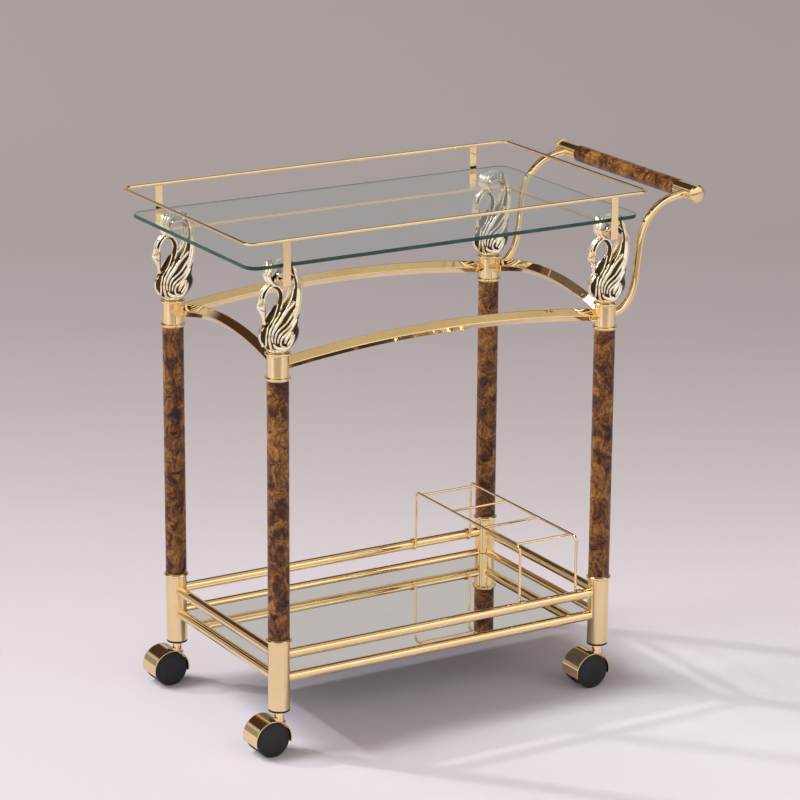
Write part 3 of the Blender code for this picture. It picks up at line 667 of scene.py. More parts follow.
def wheel_profile(radius):
    """Half of a twin wheel: tread with round shoulders, a shallow ring groove and a faintly domed face."""
    face, brow = WHEEL_OUTER_Y - 0.7 * MM, WHEEL_OUTER_Y - 0.8 * MM
    found = [(0, WHEEL_OUTER_Y), (0.45 * radius, WHEEL_OUTER_Y - 0.1 * MM), (0.8 * radius, face)]
    found += [(0.845 * radius, brow), (0.86 * radius, brow - 0.5 * MM), (0.875 * radius, brow)]
    found += arc((radius - WHEEL_SHOULDER, face - WHEEL_SHOULDER), WHEEL_SHOULDER, 90, 0, 8)
    found += [(radius, WHEEL_INNER_Y + 1 * MM), (radius - 1 * MM, WHEEL_INNER_Y)]
    return found + [(AXLE_HOLE, WHEEL_INNER_Y), (AXLE_HOLE, AXLE_HOLE_DEPTH), (0, AXLE_HOLE_DEPTH)]


def build_casters():
    for corner in CORNERS:
        axle = middle(f"caster_axle_{corner}")
        low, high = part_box(f"caster_axle_{corner}")
        half, radius = (high.y - low.y) / 2, (high.x - low.x) / 2
        stand_for(f"caster_hood_{corner}", hood(corner))
        pin = lathe("axle", tube_profile(0, radius, -half, half, FINE_EDGE), 32)
        stand_for(f"caster_axle_{corner}", moved(pin, axle, turned(90)))
        for face, angle in (("front", 90), ("back", -90)):
            wheel = lathe("wheel", wheel_profile(axle.z - WHEEL_LIFT), 96)
            stand_for(f"wheel_{face}_{corner}", moved(wheel, axle, turned(angle)))


build_casters()

# Rails
ARCH_HALF_DIAGONAL = 10 * MM
ARCH_ROUNDING = 1.1 * MM
ARCH_END_Z = 587 * MM
ARCH_RISE_LONG = 20 * MM
ARCH_RISE_SHORT = 27 * MM
RAIL_RADIUS = 7.5 * MM
SHELF_RAIL_Z = 112.5 * MM
# How far rails reach into the collars
COPE = 2 * MM
TAB_X = (-150 * MM, 150 * MM)
# Half the span between posts, turn, middle of the side, rise of the arch and places of the mirror's tabs
SIDES_OF_CART = {
    "front": (HALF_X, 0, (0, -HALF_Y), ARCH_RISE_LONG, TAB_X),
    "back": (HALF_X, 180, (0, HALF_Y), ARCH_RISE_LONG, TAB_X),
    "left": (HALF_Y, -90, (-HALF_X, 0), ARCH_RISE_SHORT, (0,)),
    "right": (HALF_Y, 90, (HALF_X, 0), ARCH_RISE_SHORT, (0,)),
}
TAB_WIDTH = 22 * MM
TAB_REACH = 15 * MM
TAB_THICKNESS = 2.5 * MM


def square_section(half_diagonal, radius, steps=4):
    """A square tube's outline turned on edge, with round corners."""
    found = []
    reach = half_diagonal - radius * math.sqrt(2)
    for k in range(4):
        turn = math.pi / 2 * k
        centre = (reach * math.cos(turn), reach * math.sin(turn))
        found += arc(centre, radius, 90 * k - 45, 90 * k + 45, steps)
    return flats_held(np.array(found), steps)


def arch(half, rise):
    radius = (half**2 + rise**2) / (2 * rise)
    reach = math.asin(half / radius) * (1 - (POST_RADIUS - COPE) / half)
    path = []
    for angle in np.linspace(-reach, reach, 49):
        path.append((radius * math.sin(angle), 0, radius * (math.cos(angle) - 1) + rise))
    return extruded("arch", path, square_section(ARCH_HALF_DIAGONAL, ARCH_ROUNDING))


def straight_rail(half, tabs, z):
    reach = half - POST_RADIUS + COPE
    pieces = [rod("rail", [(-reach, 0, 0), (reach, 0, 0)], RAIL_RADIUS, 48)]
    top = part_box("mirror_shelf")[0].z - GAP - z
    for x in tabs:
        low = (x - TAB_WIDTH / 2, RAIL_RADIUS - 1 * MM, top - TAB_THICKNESS)
        pieces.append(block("tab", low, (x + TAB_WIDTH / 2, TAB_REACH, top), 0.4 * MM))
    return together("rail", pieces)


def build_rails():
    for side, (half, turn, (x, y), rise, tabs) in SIDES_OF_CART.items():
        matrix = turned(turn, "Z")
        stand_for(f"arched_rail_{side}", moved(arch(half, rise), (CENTRE_X + x, y, ARCH_END_Z), matrix))
        for node, z, used in (("guard_rail", GUARD_RAIL_Z, ()), ("shelf_rail", SHELF_RAIL_Z, tabs)):
            stand_for(f"{node}_{side}", moved(straight_rail(half, used, z), (CENTRE_X + x, y, z), matrix))


build_rails()

# Mirror shelf and glass top
NOTCH_RADIUS = POST_RADIUS + 1 * MM
GLASS_CORNER = 20 * MM
GLASS_ROUNDING = 1.1 * MM
CORNER_STEPS = 14


def by_direction(mesh, side, bottom):
    """Gives the faces of the sides and of the bottom these material indices. The top keeps the first."""
    for face in mesh.polygons:
        if face.normal.z < -0.9:
            face.material_index = bottom
        elif face.normal.z <= 0.9:
            face.material_index = side


def notched_outline(half_length, half_width, radius, steps):
    """A rectangle with a round notch cut out of each corner round a post."""
    outline = []
    start = math.asin((HALF_X - half_length) / radius)
    stop = math.acos((HALF_Y - half_width) / radius)
    for sx, sy in ((1, -1), (1, 1), (-1, 1), (-1, -1)):
        notch = []
        for angle in np.linspace(start, stop, steps + 1):
            x, y = HALF_X - radius * math.sin(angle), HALF_Y - radius * math.cos(angle)
            notch.append((CENTRE_X + sx * x, sy * y))
        outline += notch[::-1] if sx * sy < 0 else notch
    return outline


def rounded_rectangle(length, width, radius, steps):
    """Points round a rectangle with arcs at its corners, anticlockwise seen from above."""
    outline = []
    for turn, (sx, sy) in enumerate(((1, -1), (1, 1), (-1, 1), (-1, -1))):
        centre = (sx * (length / 2 - radius), sy * (width / 2 - radius))
        outline += arc(centre, radius, 90 * (turn - 1), 90 * turn, steps)
    return outline


def build_sheets():
    low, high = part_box("mirror_shelf")
    outline = notched_outline((high.x - low.x) / 2, (high.y - low.y) / 2, NOTCH_RADIUS, CORNER_STEPS)
    mesh = plate("mirror", outline, low.z, high.z, FINE_EDGE)
    by_direction(mesh, side=1, bottom=2)
    stand_for("mirror_shelf", mesh, (EDGE, BACKING))
    low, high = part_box("glass_top")
    outline = rounded_rectangle(high.x - low.x, high.y - low.y, GLASS_CORNER, CORNER_STEPS)
    mesh = plate("glass", outline, low.z, high.z, GLASS_ROUNDING, 4)
    moved(mesh, ((low.x + high.x) / 2, 0, 0))
    by_direction(mesh, side=1, bottom=0)
    stand_for("glass_top", mesh, (EDGE,))


build_sheets()

# Gallery over the glass
ROD_RADIUS = 2.5 * MM
GALLERY_CORNER = 14 * MM
STRAP_X = 274.5 * MM
STRAP_HALF_WIDTH = 6 * MM
STRAP_HALF_THICKNESS = 1.25 * MM
PIN_RADIUS = 2.6 * MM
PIN_DROP = 6.5 * MM
PIN_REACH = 26.5 * MM
PIN_COLLAR_LENGTH = 3.5 * MM
PIN_COLLAR_RADIUS = 1.6 * PIN_RADIUS


def strap(x, y, inward, low_z, high_z):
    """A flat strap from the rod frame down to the swan, and the pin that runs from it into the crest."""
    low = (x - STRAP_HALF_WIDTH, y - STRAP_HALF_THICKNESS, low_z)
    high = (x + STRAP_HALF_WIDTH, y + STRAP_HALF_THICKNESS, high_z)
    end, z = y + inward * PIN_REACH, low_z + PIN_DROP
    collar = [(x, end - inward * PIN_COLLAR_LENGTH, z), (x, end, z)]
    return [
        block("strap", low, high, FINE_EDGE),
        rod("pin", [(x, y, z), (x, end, z)], PIN_RADIUS, across=(0, 0, 1)),
        rod("pin_collar", collar, PIN_COLLAR_RADIUS, across=(0, 0, 1)),
    ]


def build_gallery():
    low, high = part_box("gallery_frame")
    centre, z = (low.x + high.x) / 2, high.z - ROD_RADIUS
    length, width = high.x - low.x - 2 * ROD_RADIUS, high.y - low.y - 2 * ROD_RADIUS
    path = [(centre + x, y, z) for x, y in rounded_rectangle(length, width, GALLERY_CORNER, 10)]
    pieces = [rod("rod", path, ROD_RADIUS, across=(0, 0, 1), loop=True)]
    for sx, sy in CORNERS.values():
        pieces += strap(centre + sx * STRAP_X, sy * width / 2, -sy, low.z, z)
    stand_for("gallery_frame", together("gallery", pieces))


build_gallery()

# Bottle rack
WIRE = 2 * MM
WIRE_BEND = 8 * MM
RACK_BAR_RADIUS = 0.9 * WIRE
RACK_BARS_Y = (-136.5 * MM, -45.5 * MM, 45.5 * MM, 136.5 * MM)
RACK_LEG_Y = 153.1 * MM
CLIP_HALF_WIDTH = 3 * MM
CLIP_HALF_THICKNESS = 0.75 * MM
CLIP_RADIUS = RAIL_RADIUS + 1.05 * MM


def bent_wire(x, top):
    """One inverted U of wire across the cart, with rounded bends."""
    foot = GUARD_RAIL_Z + RAIL_RADIUS * 0.1
    path = [(x, -RACK_LEG_Y, foot)]
    for sign in (-1, 1):
        centre_y = sign * (RACK_LEG_Y - WIRE_BEND)
        bend = [(x, centre_y + sign * y, z) for y, z in arc((0, top - WIRE_BEND), WIRE_BEND, 0, 90, 8)]
        path += bend if sign < 0 else bend[::-1]
    path.append((x, RACK_LEG_Y, foot))
    return rod("wire", path, WIRE, 20, across=(1, 0, 0))


def rail_clip(x, sign):
    """A thin saddle that hugs the guard rail, from its belly over its top to the leg."""
    bend = arc((0, 0), CLIP_RADIUS, -60, 110, 20)
    path = [(x, sign * (HALF_Y - y), GUARD_RAIL_Z + z) for y, z in bend]
    section = rounded_section(CLIP_HALF_THICKNESS, CLIP_HALF_WIDTH, FINE_EDGE)
    return extruded("clip", path, section, across=(1, 0, 0))


def build_rack():
    low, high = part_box("bottle_rack")
    top = high.z - WIRE
    xs = (low.x + CLIP_HALF_WIDTH, high.x - CLIP_HALF_WIDTH)
    pieces = [bent_wire(x, top) for x in xs]
    for y in RACK_BARS_Y:
        pieces.append(rod("bar", [(x, y, top - 0.3 * WIRE) for x in xs], RACK_BAR_RADIUS, 20))
    pieces += [rail_clip(x, sign) for x in xs for sign in (-1, 1)]
    stand_for("bottle_rack", together("rack", pieces))


build_rack()

# Handle
ARM_RADIUS = 6 * MM
# The arm's route in millimetres: x from the middle of the cart, z from the floor
ARM_KNOTS = [
    (293, 587),
    (308, 593),
    (322, 609),
    (331, 634),
    (335, 668),
    (340, 700),
    (352, 727),
    (378, 749),
    (415, 757.8),
]
BAR = middle("handle_bar")
BAR_RADIUS = 12 * MM
BAR_BORE = BAR_RADIUS - TUBE_WALL
PLUG_LENGTH = 10 * MM
DOME_FOOT = 2.4 * MM
DOME_TOP = 7 * MM
DOME_INSET = 1.2 * MM


def cap_profile(radius):
    """The cap's plug, its round rim and its dome, with heights from the end of the bar."""
    plug = BAR_BORE - GAP
    found = [(0, -PLUG_LENGTH), (plug, -PLUG_LENGTH), (plug, GAP)]
    found += arc((radius - COLLAR_EDGE, GAP + COLLAR_EDGE), COLLAR_EDGE, -90, 60, 5)
    found.append((radius - 1 * MM, 2.1 * MM))
    for angle in np.radians(np.linspace(0, 90, 12)):
        height = DOME_FOOT + (DOME_TOP - DOME_FOOT) * math.sin(angle)
        found.append(((radius - DOME_INSET) * math.cos(angle), height))
    found[-1] = (0, DOME_TOP)
    return found


def build_handle():
    for face, sign in (("front", -1), ("back", 1)):
        knots = [(CENTRE_X + x * MM, sign * HALF_Y, z * MM) for x, z in ARM_KNOTS]
        stand_for(f"handle_arm_{face}", rod("arm", smooth_path(knots, 8), ARM_RADIUS, 32))
    low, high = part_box("handle_bar")
    half = (high.y - low.y) / 2
    bar = lathe("bar", [(BAR_RADIUS, -half), (BAR_RADIUS, half), (BAR_BORE, half), (BAR_BORE, -half)])
    stand_for("handle_bar", moved(bar, BAR, turned(90)))
    low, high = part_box("handle_sleeve")
    reach, outer = (high.y - low.y) / 2, (high.z - low.z) / 2
    sleeve = lathe("sleeve", tube_profile(BAR_RADIUS + 0.2 * MM, outer, -reach, reach, FINE_EDGE))
    stand_for("handle_sleeve", moved(sleeve, BAR, turned(90)))
    for face, sign in (("front", -1), ("back", 1)):
        low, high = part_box(f"handle_cap_{face}")
        cap = lathe("cap", cap_profile((high.z - low.z) / 2))
        stand_for(f"handle_cap_{face}", moved(cap, (BAR.x, sign * half, BAR.z), turned(-90 * sign)))


build_handle()

# Swans: x runs from the post's axis towards the handle, z from the middle of the upper bead, in millimetres
SWAN_ORIGIN_Z = UPPER_TOP - BEAD_HALF
SWAN_TOP = 130.2
# Neck, head and beak: x, z, half width in the swan's middle plane, half depth across it
NECK = [
    (-8, 18, 10, 9),
    (-10, 36, 11.5, 10),
    (-7.5, 50, 8.8, 8.8),
    (-2, 61, 7, 7.2),
    (3.4, 73, 5.2, 5.6),
    (5, 85, 4.4, 4.8),
    (0, 95.5, 4, 4.4),
    (-9, 99.4, 4, 4.4),
    (-18.5, 94.5, 4.3, 4.4),
    (-24.6, 85, 4.8, 4.8),
    (-26.4, 77, 6.2, 5.6),
    (-26, 71.5, 7.2, 5.8),
    (-24.5, 64, 5.2, 4.8),
    (-23, 58, 3.4, 3.6),
    (-21.8, 50, 2.6, 2.8),
    (-20.4, 41.5, 1.9, 2.4),
    (-20.2, 39, 0.9, 1.2),
]
HOOK = [
    (29, 97, 3.6, 4.6),
    (23.5, 109.5, 3.3, 6.4),
    (14.5, 116.2, 3.2, 7.4),
    (4, 116.2, 3.2, 7.4),
    (-4, 110.5, 3.2, 6.4),
    (-8, 101, 2.8, 4.2),
]
CREST = [(-9, 101, 2.6), (-15, 107, 3.3), (-17.5, 116, 3.5), (-13.5, 124, 3.0), (-6, 128.6, 1.6)]
CREST_LEAVES = [(-4.5, 1.5), (1.5, 0.0), (7.0, 1.5), (12.0, 4.0)]
# Bed of one wing: x, distance from the middle plane, z, half width, half depth
WING = [
    (2.2, 11, 5.7, 2.6, 2.5),
    (2.3, 11.5, 7, 7.5, 5.5),
    (2.5, 12, 11, 13.6, 7.3),
    (2.8, 12, 17, 17.8, 7.3),
    (3.3, 12, 25, 19.5, 7.3),
    (4, 12, 37, 20.5, 6.8),
    (11.5, 11, 51.5, 17.3, 5.8),
    (20.5, 9, 66, 12.3, 5),
    (26.5, 7, 79.5, 9, 4.6),
    (29.6, 5.5, 94, 7, 4.3),
    (28, 5, 107, 5, 4),
    (24.5, 4.6, 117, 3.7, 3.6),
    (20.5, 4.2, 127.5, 1.6, 2.4),
]
# Feathers laid on the wing, neck and body: x, z and half width, from root to tip
FEATHERS = {
    "rim": [
        (18, 29, 0.9), (16.5, 23, 1.3), (13.5, 17, 1.6), (8.5, 12, 1.8), (3, 8.5, 2), (-2, 6.5, 2),
        (-7.5, 6, 2), (-12, 8, 2), (-16.5, 13, 2), (-20, 22, 1.8), (-20.5, 29.5, 1.7),
        (-19, 36.5, 1.7), (-15.5, 42.5, 1.7), (-12.5, 48.5, 1.6), (-8, 54.5, 1.6), (-3.5, 60, 1.5),
        (1.5, 65.5, 1.4), (4.5, 71, 1.4), (6.3, 77, 1.4), (6.8, 84, 1.5), (5.3, 90.5, 1.6),
        (0.6, 96.8, 1.7), (-4.5, 99.4, 1.7), (-9.5, 99.2, 1.7), (-13.8, 96.8, 1.7),
        (-17.3, 93, 1.7), (-20.6, 87.5, 1.6), (-22.4, 82, 1.5), (-23.4, 77, 1.3),
    ],
    "nape": [
        (-2, 102, 0.8), (-8, 103, 1), (-14.5, 100.7, 1.1), (-20.4, 96.4, 1.2), (-24.8, 91.5, 1.2),
        (-27.4, 85.5, 1.2), (-29.3, 79.5, 1.1), (-30.6, 75, 0.8),
    ],
    "basin": [
        (-14.5, 18.5, 1.2), (-11.5, 13.6, 2.3), (-5.5, 10.6, 2.8), (0.8, 10, 2.5), (7, 12.4, 2),
        (11.8, 16, 1.7), (15.3, 21.5, 1.4), (16.8, 28, 1.1),
    ],
    "lead": [
        (-15.5, 19.5, 1.1), (-17, 26.5, 1.6), (-16, 33, 1.9), (-13, 39.5, 2.3), (-9.5, 45, 2.7),
        (-4.5, 50.5, 3), (0, 56.5, 2.9), (5, 61.5, 2.7), (10.5, 66.5, 2.6), (16.5, 71, 2.6),
        (21.5, 76, 2.2),
    ],
    "second": [
        (-12.5, 18.5, 0.9), (-13, 26.5, 1.3), (-11, 33, 1.5), (-7, 38.5, 1.6), (-1, 43, 1.6),
        (4.5, 47, 1.6), (9.5, 52, 1.8), (14.5, 57.5, 2.2), (19.5, 62.5, 2.4), (23.5, 68, 2.2),
    ],
    "third": [
        (-9, 18.5, 0.9), (-8.5, 25.5, 1.5), (-6, 30.5, 1.7), (-1.5, 35, 1.7), (4, 38.5, 1.8),
        (10, 43, 2), (15, 48, 2.4), (20, 53.5, 2.8), (24, 60, 2.6),
    ],
    "fourth": [
        (3.5, 12, 1.4), (-3.5, 14.5, 1.5), (-5, 21, 1.5), (-2.5, 26.5, 2), (2.5, 30.5, 2.5),
        (8, 34.5, 2.7), (13.5, 39.5, 2.7), (18, 45, 2.7), (23, 51.5, 2.3),
    ],
    "heart": [(0.8, 17.5, 1.5), (3, 23.5, 2.6), (7.5, 29, 2.8), (12, 35, 2.1)],
    "outer": [(4.5, 15, 1.4), (8.6, 19, 2.1), (12, 24, 2.4), (13.4, 29.5, 2.3), (13.2, 34.5, 1.9)],
    "sweep": [
        (17.5, 49, 2.2), (21, 56, 4.2), (24.5, 63, 5), (27, 71, 5.2), (28.8, 78.5, 5),
        (30, 86.5, 4.8), (30.6, 94.5, 4.6), (29.8, 102.5, 4.1), (27, 111, 3.4), (23.8, 119, 2.4),
        (21.5, 126, 1.2),
    ],
    "tip": [
        (6.5, 66.5, 1.1), (12.5, 72.5, 1.3), (17, 79, 1.3), (20.2, 86, 1.3), (22.3, 94, 1.3),
        (22.6, 101, 1.2), (21.5, 108, 1),
    ],
    "breast": [
        (-20, 9, 1.5), (-21.5, 13, 1.6), (-23.5, 20.5, 1.5), (-24, 29, 1.4), (-22.5, 36, 1.3),
        (-20, 42, 1.2), (-15.5, 46.5, 1.1), (-11.5, 51.5, 1.1), (-7.5, 58.5, 1), (-4, 65.5, 0.9),
        (-1, 73, 0.8),
    ],
}
# Chased lines, with painted shade all over them: x, z and half width
LINES = {
    "breast_line": [
        (-18.5, 10, 0.5), (-21.8, 20, 0.8), (-22.3, 29, 0.9), (-20.8, 36, 1.1), (-17.8, 42.5, 1.4),
        (-13.6, 49.5, 1.3), (-9.6, 56, 0.9), (-5.5, 62, 0.7), (-1, 68, 0.5),
    ],
    "beak_line": [(-30.5, 69, 0.4), (-27.5, 66.5, 0.6), (-24, 65, 0.6), (-20.5, 67, 0.4)],
}
# One eye, and how far it is from the middle plane
EYE = [(-29.2, 73.5, 0.3, 0.3), (-28.6, 74.2, 0.9, 0.9), (-28, 74.9, 0.3, 0.3)]
EYE_AWAY = 4.9
# The stud in the collar and the round foot, as radius and height
FOOT = [(0, -20), (5.7, -20), (5.7, 3.3), (14.2, 3.3), (14.8, 3.9), (14.8, 5.6), (14.2, 6.2), (13.2, 6.5)]
FOOT_TOP = 6.6
# The egg-shaped body: its lowest point would be at BODY_LOW if the foot didn't cut it off
BODY_LOW = 3.5
BODY_HALF_HEIGHT = 24.75
BODY_RADIUS = 31.5
BODY_HALF_DEPTH = 19
BODY_SHIFT = 1.5
# Rays from this far out lay the feathers on the bed. Where one misses, the point of the bed nearest to
# a place NEAR_OUT from the middle plane is taken
FAR_OUT = 60
NEAR_OUT = 12
# How far a feather narrows at its ends, the most that it stands out, and the part that a line stands out
ROOT_TAPER = 0.35
TIP_TAPER = 0.25
MOST_RISE = 2.6
LINE_RISE = 0.35
# The clear pad between the swan and the glass, in metres
PAD_X = 7 * MM
PAD_LOW = 118.5 * MM
PAD_TOP = 130.1 * MM
PAD_PROFILE = [
    (0, PAD_LOW),
    (7.6 * MM, PAD_LOW),
    (8.8 * MM, 120.5 * MM),
    (9 * MM, 128.8 * MM),
    (8.3 * MM, PAD_TOP),
    (0, PAD_TOP),
]


def flat_rod(name, knots, away=0.0):
    """A round limb in a plane at this distance from the swan's middle plane."""
    knots = smooth_path(knots, 8)
    path = np.column_stack([knots[:, 0], np.full(len(knots), away), knots[:, 1]])
    return sweep(name, path, round_section(36), knots[:, 2], knots[:, 3])


def paint_shade(mesh, rule):
    """Gives the painted shade metal to the faces for which the rule holds, by their middle and normal."""
    for face in mesh.polygons:
        if rule(face.center, face.normal):
            face.material_index = 1
    return mesh


def neck_shade(place, normal):
    """Painted shade on the neck's flanks and all round its lower part, but not on the head."""
    head = place.x < -18.5 and place.z < 83
    return not head and (abs(normal.y) > 0.45 or place.z < 70)


def body_shade(place, normal):
    """Painted shade on the body's flanks, above the round foot."""
    return abs(normal.y) > 0.35 and place.z > 7


def swan_body():
    """Foot, stud and the egg-shaped body, narrower across the cart."""
    profile = list(FOOT)
    for angle in np.radians(np.linspace(26, 180, 40)):
        profile.append((BODY_RADIUS * math.sin(angle), BODY_LOW + BODY_HALF_HEIGHT * (1 - math.cos(angle))))
    profile[-1] = (0, profile[-1][1])
    mesh = lathe("body", profile, 64)
    for vertex in mesh.vertices:
        if vertex.co.z > FOOT_TOP:
            vertex.co.y *= BODY_HALF_DEPTH / BODY_RADIUS
            vertex.co.x += BODY_SHIFT
    return mesh


def wing_bed(side):
    knots = smooth_path(WING, 6)
    path = np.column_stack([knots[:, 0], side * knots[:, 1], knots[:, 2]])
    mesh = sweep("wing", path, round_section(48), knots[:, 3], knots[:, 4])
    # Painted shade on the bed's outer face, which shows between the feathers
    return paint_shade(mesh, lambda place, normal: normal.y * side > 0.15)


def laid(name, knots, side, bed, rise):
    """A feather or line on the swan's side. Its section stands out of the bed by this part of its width."""
    knots = smooth_path(knots, 6)
    depths = []
    for x, z, _ in knots:
        hit = bed.ray_cast(Vector((x, side * FAR_OUT, z)), Vector((0, -side, 0)))[0]
        if not hit:
            hit = bed.find_nearest(Vector((x, side * NEAR_OUT, z)))[0]
        depths.append(hit.y)
    evened = [depths[0], *np.convolve(depths, [1 / 3] * 3, "valid"), depths[-1]]
    path = np.column_stack([knots[:, 0], evened, knots[:, 1]])
    widths = knots[:, 2].copy()
    widths[0] *= ROOT_TAPER
    widths[-1] *= TIP_TAPER
    return sweep(name, path, round_section(20), widths, np.minimum(widths, MOST_RISE) * rise)


def build_swan():
    """One swan of the front pair, with its crest to the back, as overlapping closed shells."""
    neck = paint_shade(flat_rod("neck", NECK), neck_shade)
    core = [paint_shade(swan_body(), body_shade), neck, wing_bed(-1), wing_bed(1)]
    bm = bmesh.new()
    for mesh in core:
        bm.from_mesh(mesh)
    bed = BVHTree.FromBMesh(bm)
    bm.free()
    # Painted shade under the hook
    pieces = core + [paint_shade(flat_rod("hook", HOOK), lambda place, normal: normal.z < -0.35)]
    for away, bend in CREST_LEAVES:
        knots = [(x + bend, z, width, width * 1.05) for x, z, width in CREST]
        # Painted shade on the back of each crest leaf
        pieces.append(paint_shade(flat_rod("crest", knots, away), lambda place, normal: normal.x > 0.4))
    for side in (-1, 1):
        for name, knots in FEATHERS.items():
            pieces.append(laid(name, knots, side, bed, 1.0))
        for name, knots in LINES.items():
            # The chased lines get painted shade all over
            pieces.append(paint_shade(laid(name, knots, side, bed, LINE_RISE), lambda place, normal: True))
        pieces.append(flat_rod("eye", EYE, side * EYE_AWAY))
    mesh = together("swan", pieces)
    for vertex in mesh.vertices:
        vertex.co.z = min(vertex.co.z, SWAN_TOP)
    mesh.transform(Matrix.Scale(MM, 4))
    return mesh


def build_swans():
    front = build_swan()
    back = front.copy()
    back.transform(Matrix.Scale(-1, 4, (0, 1, 0)))
    back.flip_normals()
    for corner, (_, sy) in CORNERS.items():
        post = POSTS[corner]
        mesh = (front if sy < 0 else back).copy()
        # The swan's second material is the painted shade metal
        stand_for(f"swan_{corner}", moved(mesh, (post.x, post.y, SWAN_ORIGIN_Z)), (PAINTED_SHADE,))
        pad = moved(lathe("pad", PAD_PROFILE, 40), (post.x + PAD_X, post.y, SWAN_ORIGIN_Z))
        extra(f"glass_pad_{corner}", pad, "frame", RUBBER)


build_swans()

# Camera, at the photograph's viewing angle
AZIMUTH = math.radians(-30.62)
ELEVATION = math.radians(16.73)
ROLL = math.radians(0.38)
DISTANCE = 5.109
AIM = Vector((CENTRE_X, 0.0, 0.367))
OFFSET_RIGHT = 0.01749
OFFSET_UP = 0.08142
LENS = 152.01
# Level directions in the photograph: towards its right, and from the cart towards the camera
RIGHT = Vector((math.cos(AZIMUTH), math.sin(AZIMUTH), 0))
FRONT = Vector((math.sin(AZIMUTH), -math.cos(AZIMUTH), 0))


def build_camera():
    back = FRONT * math.cos(ELEVATION) + Vector((0, 0, math.sin(ELEVATION)))
    up = back.cross(RIGHT)
    data = bpy.data.cameras.new("camera")
    data.lens = LENS
    data.sensor_width = 36.0
    data.clip_end = 100.0
    camera = bpy.data.objects.new("camera", data)
    bpy.context.scene.collection.objects.link(camera)
    place = AIM + RIGHT * OFFSET_RIGHT + up * OFFSET_UP + back * DISTANCE
    turn = Matrix((RIGHT, up, back)).transposed().to_4x4()
    camera.matrix_world = Matrix.Translation(place) @ turn @ Matrix.Rotation(ROLL, 4, "Z")
    bpy.context.scene.camera = camera


# Floor and light
FLOOR_REACH = 16.0
FLOOR_FADE = 4.0
# The floor's painted light, from 4 m behind the cart to 4 m in front of it: painted falloff to grey behind
# the cart, pale round it, a painted bright band in front that the metal mirrors, and dark beyond
FLOOR_PAINTED_LIGHT = [
    (0.0, (0.322, 0.291, 0.291)),
    (0.15, (0.312, 0.281, 0.283)),
    (0.25, (0.354, 0.316, 0.323)),
    (0.32, (0.42, 0.377, 0.385)),
    (0.37, (0.49, 0.442, 0.453)),
    (0.415, (0.567, 0.517, 0.548)),
    (0.455, (0.63, 0.573, 0.615)),
    (0.52, (0.69, 0.645, 0.715)),
    (0.61, (0.70, 0.655, 0.72)),
    (0.70, (0.84, 0.80, 0.84)),
    (0.77, (0.43, 0.40, 0.42)),
    (1.0, (0.40, 0.37, 0.36)),
]
LAMP_DISTANCE = 25.0
LAMP_AIM = Vector((CENTRE_X, 0, 0.3))
# A broad lamp and a small low one at the left: degrees above the floor, degrees turned behind the cart,
# size and power
LAMPS = {"key": (54, 5, 11.0, 4650.0), "low_key": (31, 18, 0.9, 2000.0)}
# What the metal mirrors: the room's bands on the camera's side and beyond the cart, from level (0) to
# straight above (1)
DARK, WALL, STRIP = (0.070, 0.038, 0.026), (0.95, 0.92, 0.89), (1.42, 1.38, 1.30)
DIM, SOFT, PALE = (0.34, 0.33, 0.325), (0.65, 0.60, 0.59), (0.62, 0.60, 0.56)
AHEAD = [(0.0, WALL), (0.42, WALL), (0.52, STRIP), (0.70, STRIP), (0.77, DARK), (1.0, DARK)]
BEHIND = [(0.0, DIM), (0.26, DIM), (0.31, SOFT), (0.36, SOFT), (0.44, DARK), (0.80, DARK)]
BEHIND += [(0.86, PALE), (0.92, PALE), (0.96, DARK)]
# The soft box's colour and direction
SOFT_BOX = (0.58, 0.52, 0.40)
SOFT_BOX_PLACE = (RIGHT * 0.567 + Vector((0, 0, 0.824))).normalized()


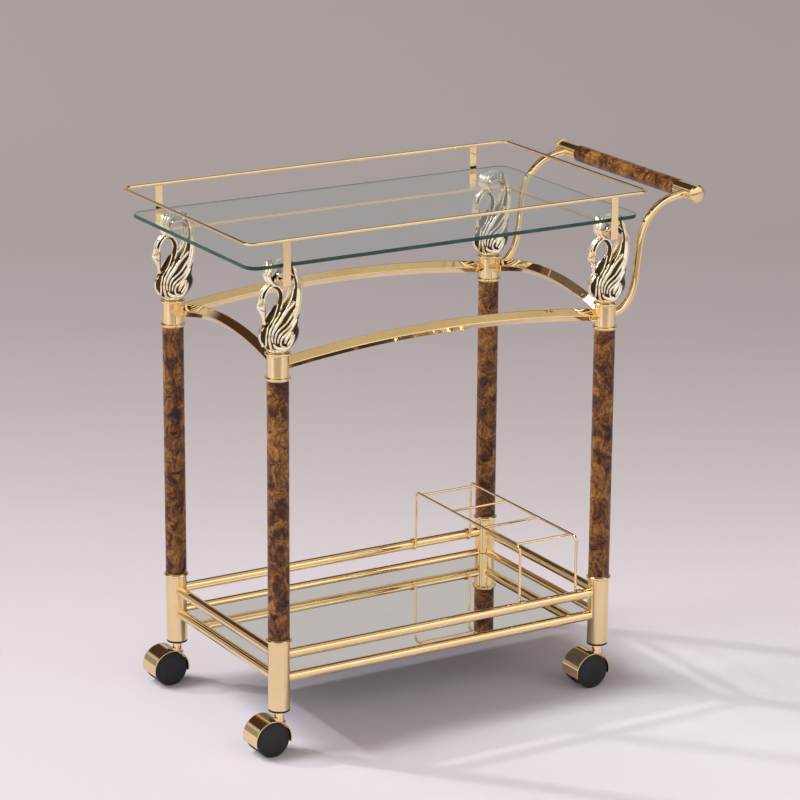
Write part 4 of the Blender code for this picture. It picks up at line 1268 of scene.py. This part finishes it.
def build_floor():
    """A pale studio floor with painted light falloff, to grey behind the cart and, out of view, in front of
    it.
    """
    corners = [(x * FLOOR_REACH, y * FLOOR_REACH, 0) for x, y in ((-1, -1), (1, -1), (1, 1), (-1, 1))]
    mesh = mesh_from("floor", corners, [(0, 1, 2, 3)])
    floor = bpy.data.objects.new("floor", mesh)
    bpy.context.scene.collection.objects.link(floor)
    made, tree, shader = new_material("floor_paper_painted_light")
    # Painted light falloff along the floor, from behind the cart to in front of it
    away = dot_product(tree, places(tree), FRONT)
    reach = {"Value": away, "From Min": -FLOOR_FADE, "From Max": FLOOR_FADE, "To Min": 0.0, "To Max": 1.0}
    along = add(tree, "ShaderNodeMapRange", reach).outputs["Result"]
    graded(tree, shader, "Base Color", along, FLOOR_PAINTED_LIGHT)
    set_values(shader, Roughness=0.9, Specular_IOR_Level=0.1)
    mesh.materials.append(made)


def add_lamp(name, place, size, power):
    """A square lamp. It isn't mirrored in the metal: the bands of build_world are."""
    data = bpy.data.lights.new(name, "AREA")
    data.size = size
    data.energy = power
    lamp = bpy.data.objects.new(name, data)
    bpy.context.scene.collection.objects.link(lamp)
    lamp.location = place
    lamp.visible_glossy = False
    lamp.rotation_mode = "QUATERNION"
    lamp.rotation_quaternion = (LAMP_AIM - place).to_track_quat("-Z", "Y")


def build_lamps():
    for name, (height, turn, size, power) in LAMPS.items():
        height, turn = math.radians(height), math.radians(turn)
        level = -RIGHT * math.cos(turn) - FRONT * math.sin(turn)
        toward = level * math.cos(height) + Vector((0, 0, math.sin(height)))
        add_lamp(name, LAMP_AIM + toward * LAMP_DISTANCE, size, power)


def build_world():
    """Soft studio: pale wall in front, darker one behind, dark ceiling and one soft box high on the right."""
    world = bpy.data.worlds.new("studio")
    bpy.context.scene.world = world
    world.use_nodes = True
    tree = world.node_tree
    sky = next(n for n in tree.nodes if n.type == "BACKGROUND")
    direction = add(tree, "ShaderNodeTexCoord").outputs["Generated"]
    height = add(tree, "ShaderNodeSeparateXYZ", {"Vector": direction}).outputs["Z"]
    side = ramp(tree, dot_product(tree, direction, FRONT), [(0.0, 0.0), (0.12, 1.0)])
    walls = mixed(tree, side, ramp(tree, height, BEHIND), ramp(tree, height, AHEAD), "MIX")
    glow = ramp(tree, dot_product(tree, direction, SOFT_BOX_PLACE), [(0.935, 0.0), (0.975, SOFT_BOX)])
    tree.links.new(mixed(tree, 1.0, walls, glow, "LIGHTEN"), sky.inputs["Color"])


build_camera()
build_floor()
build_lamps()
build_world()
bpy.context.scene.view_settings.view_transform = "Standard"
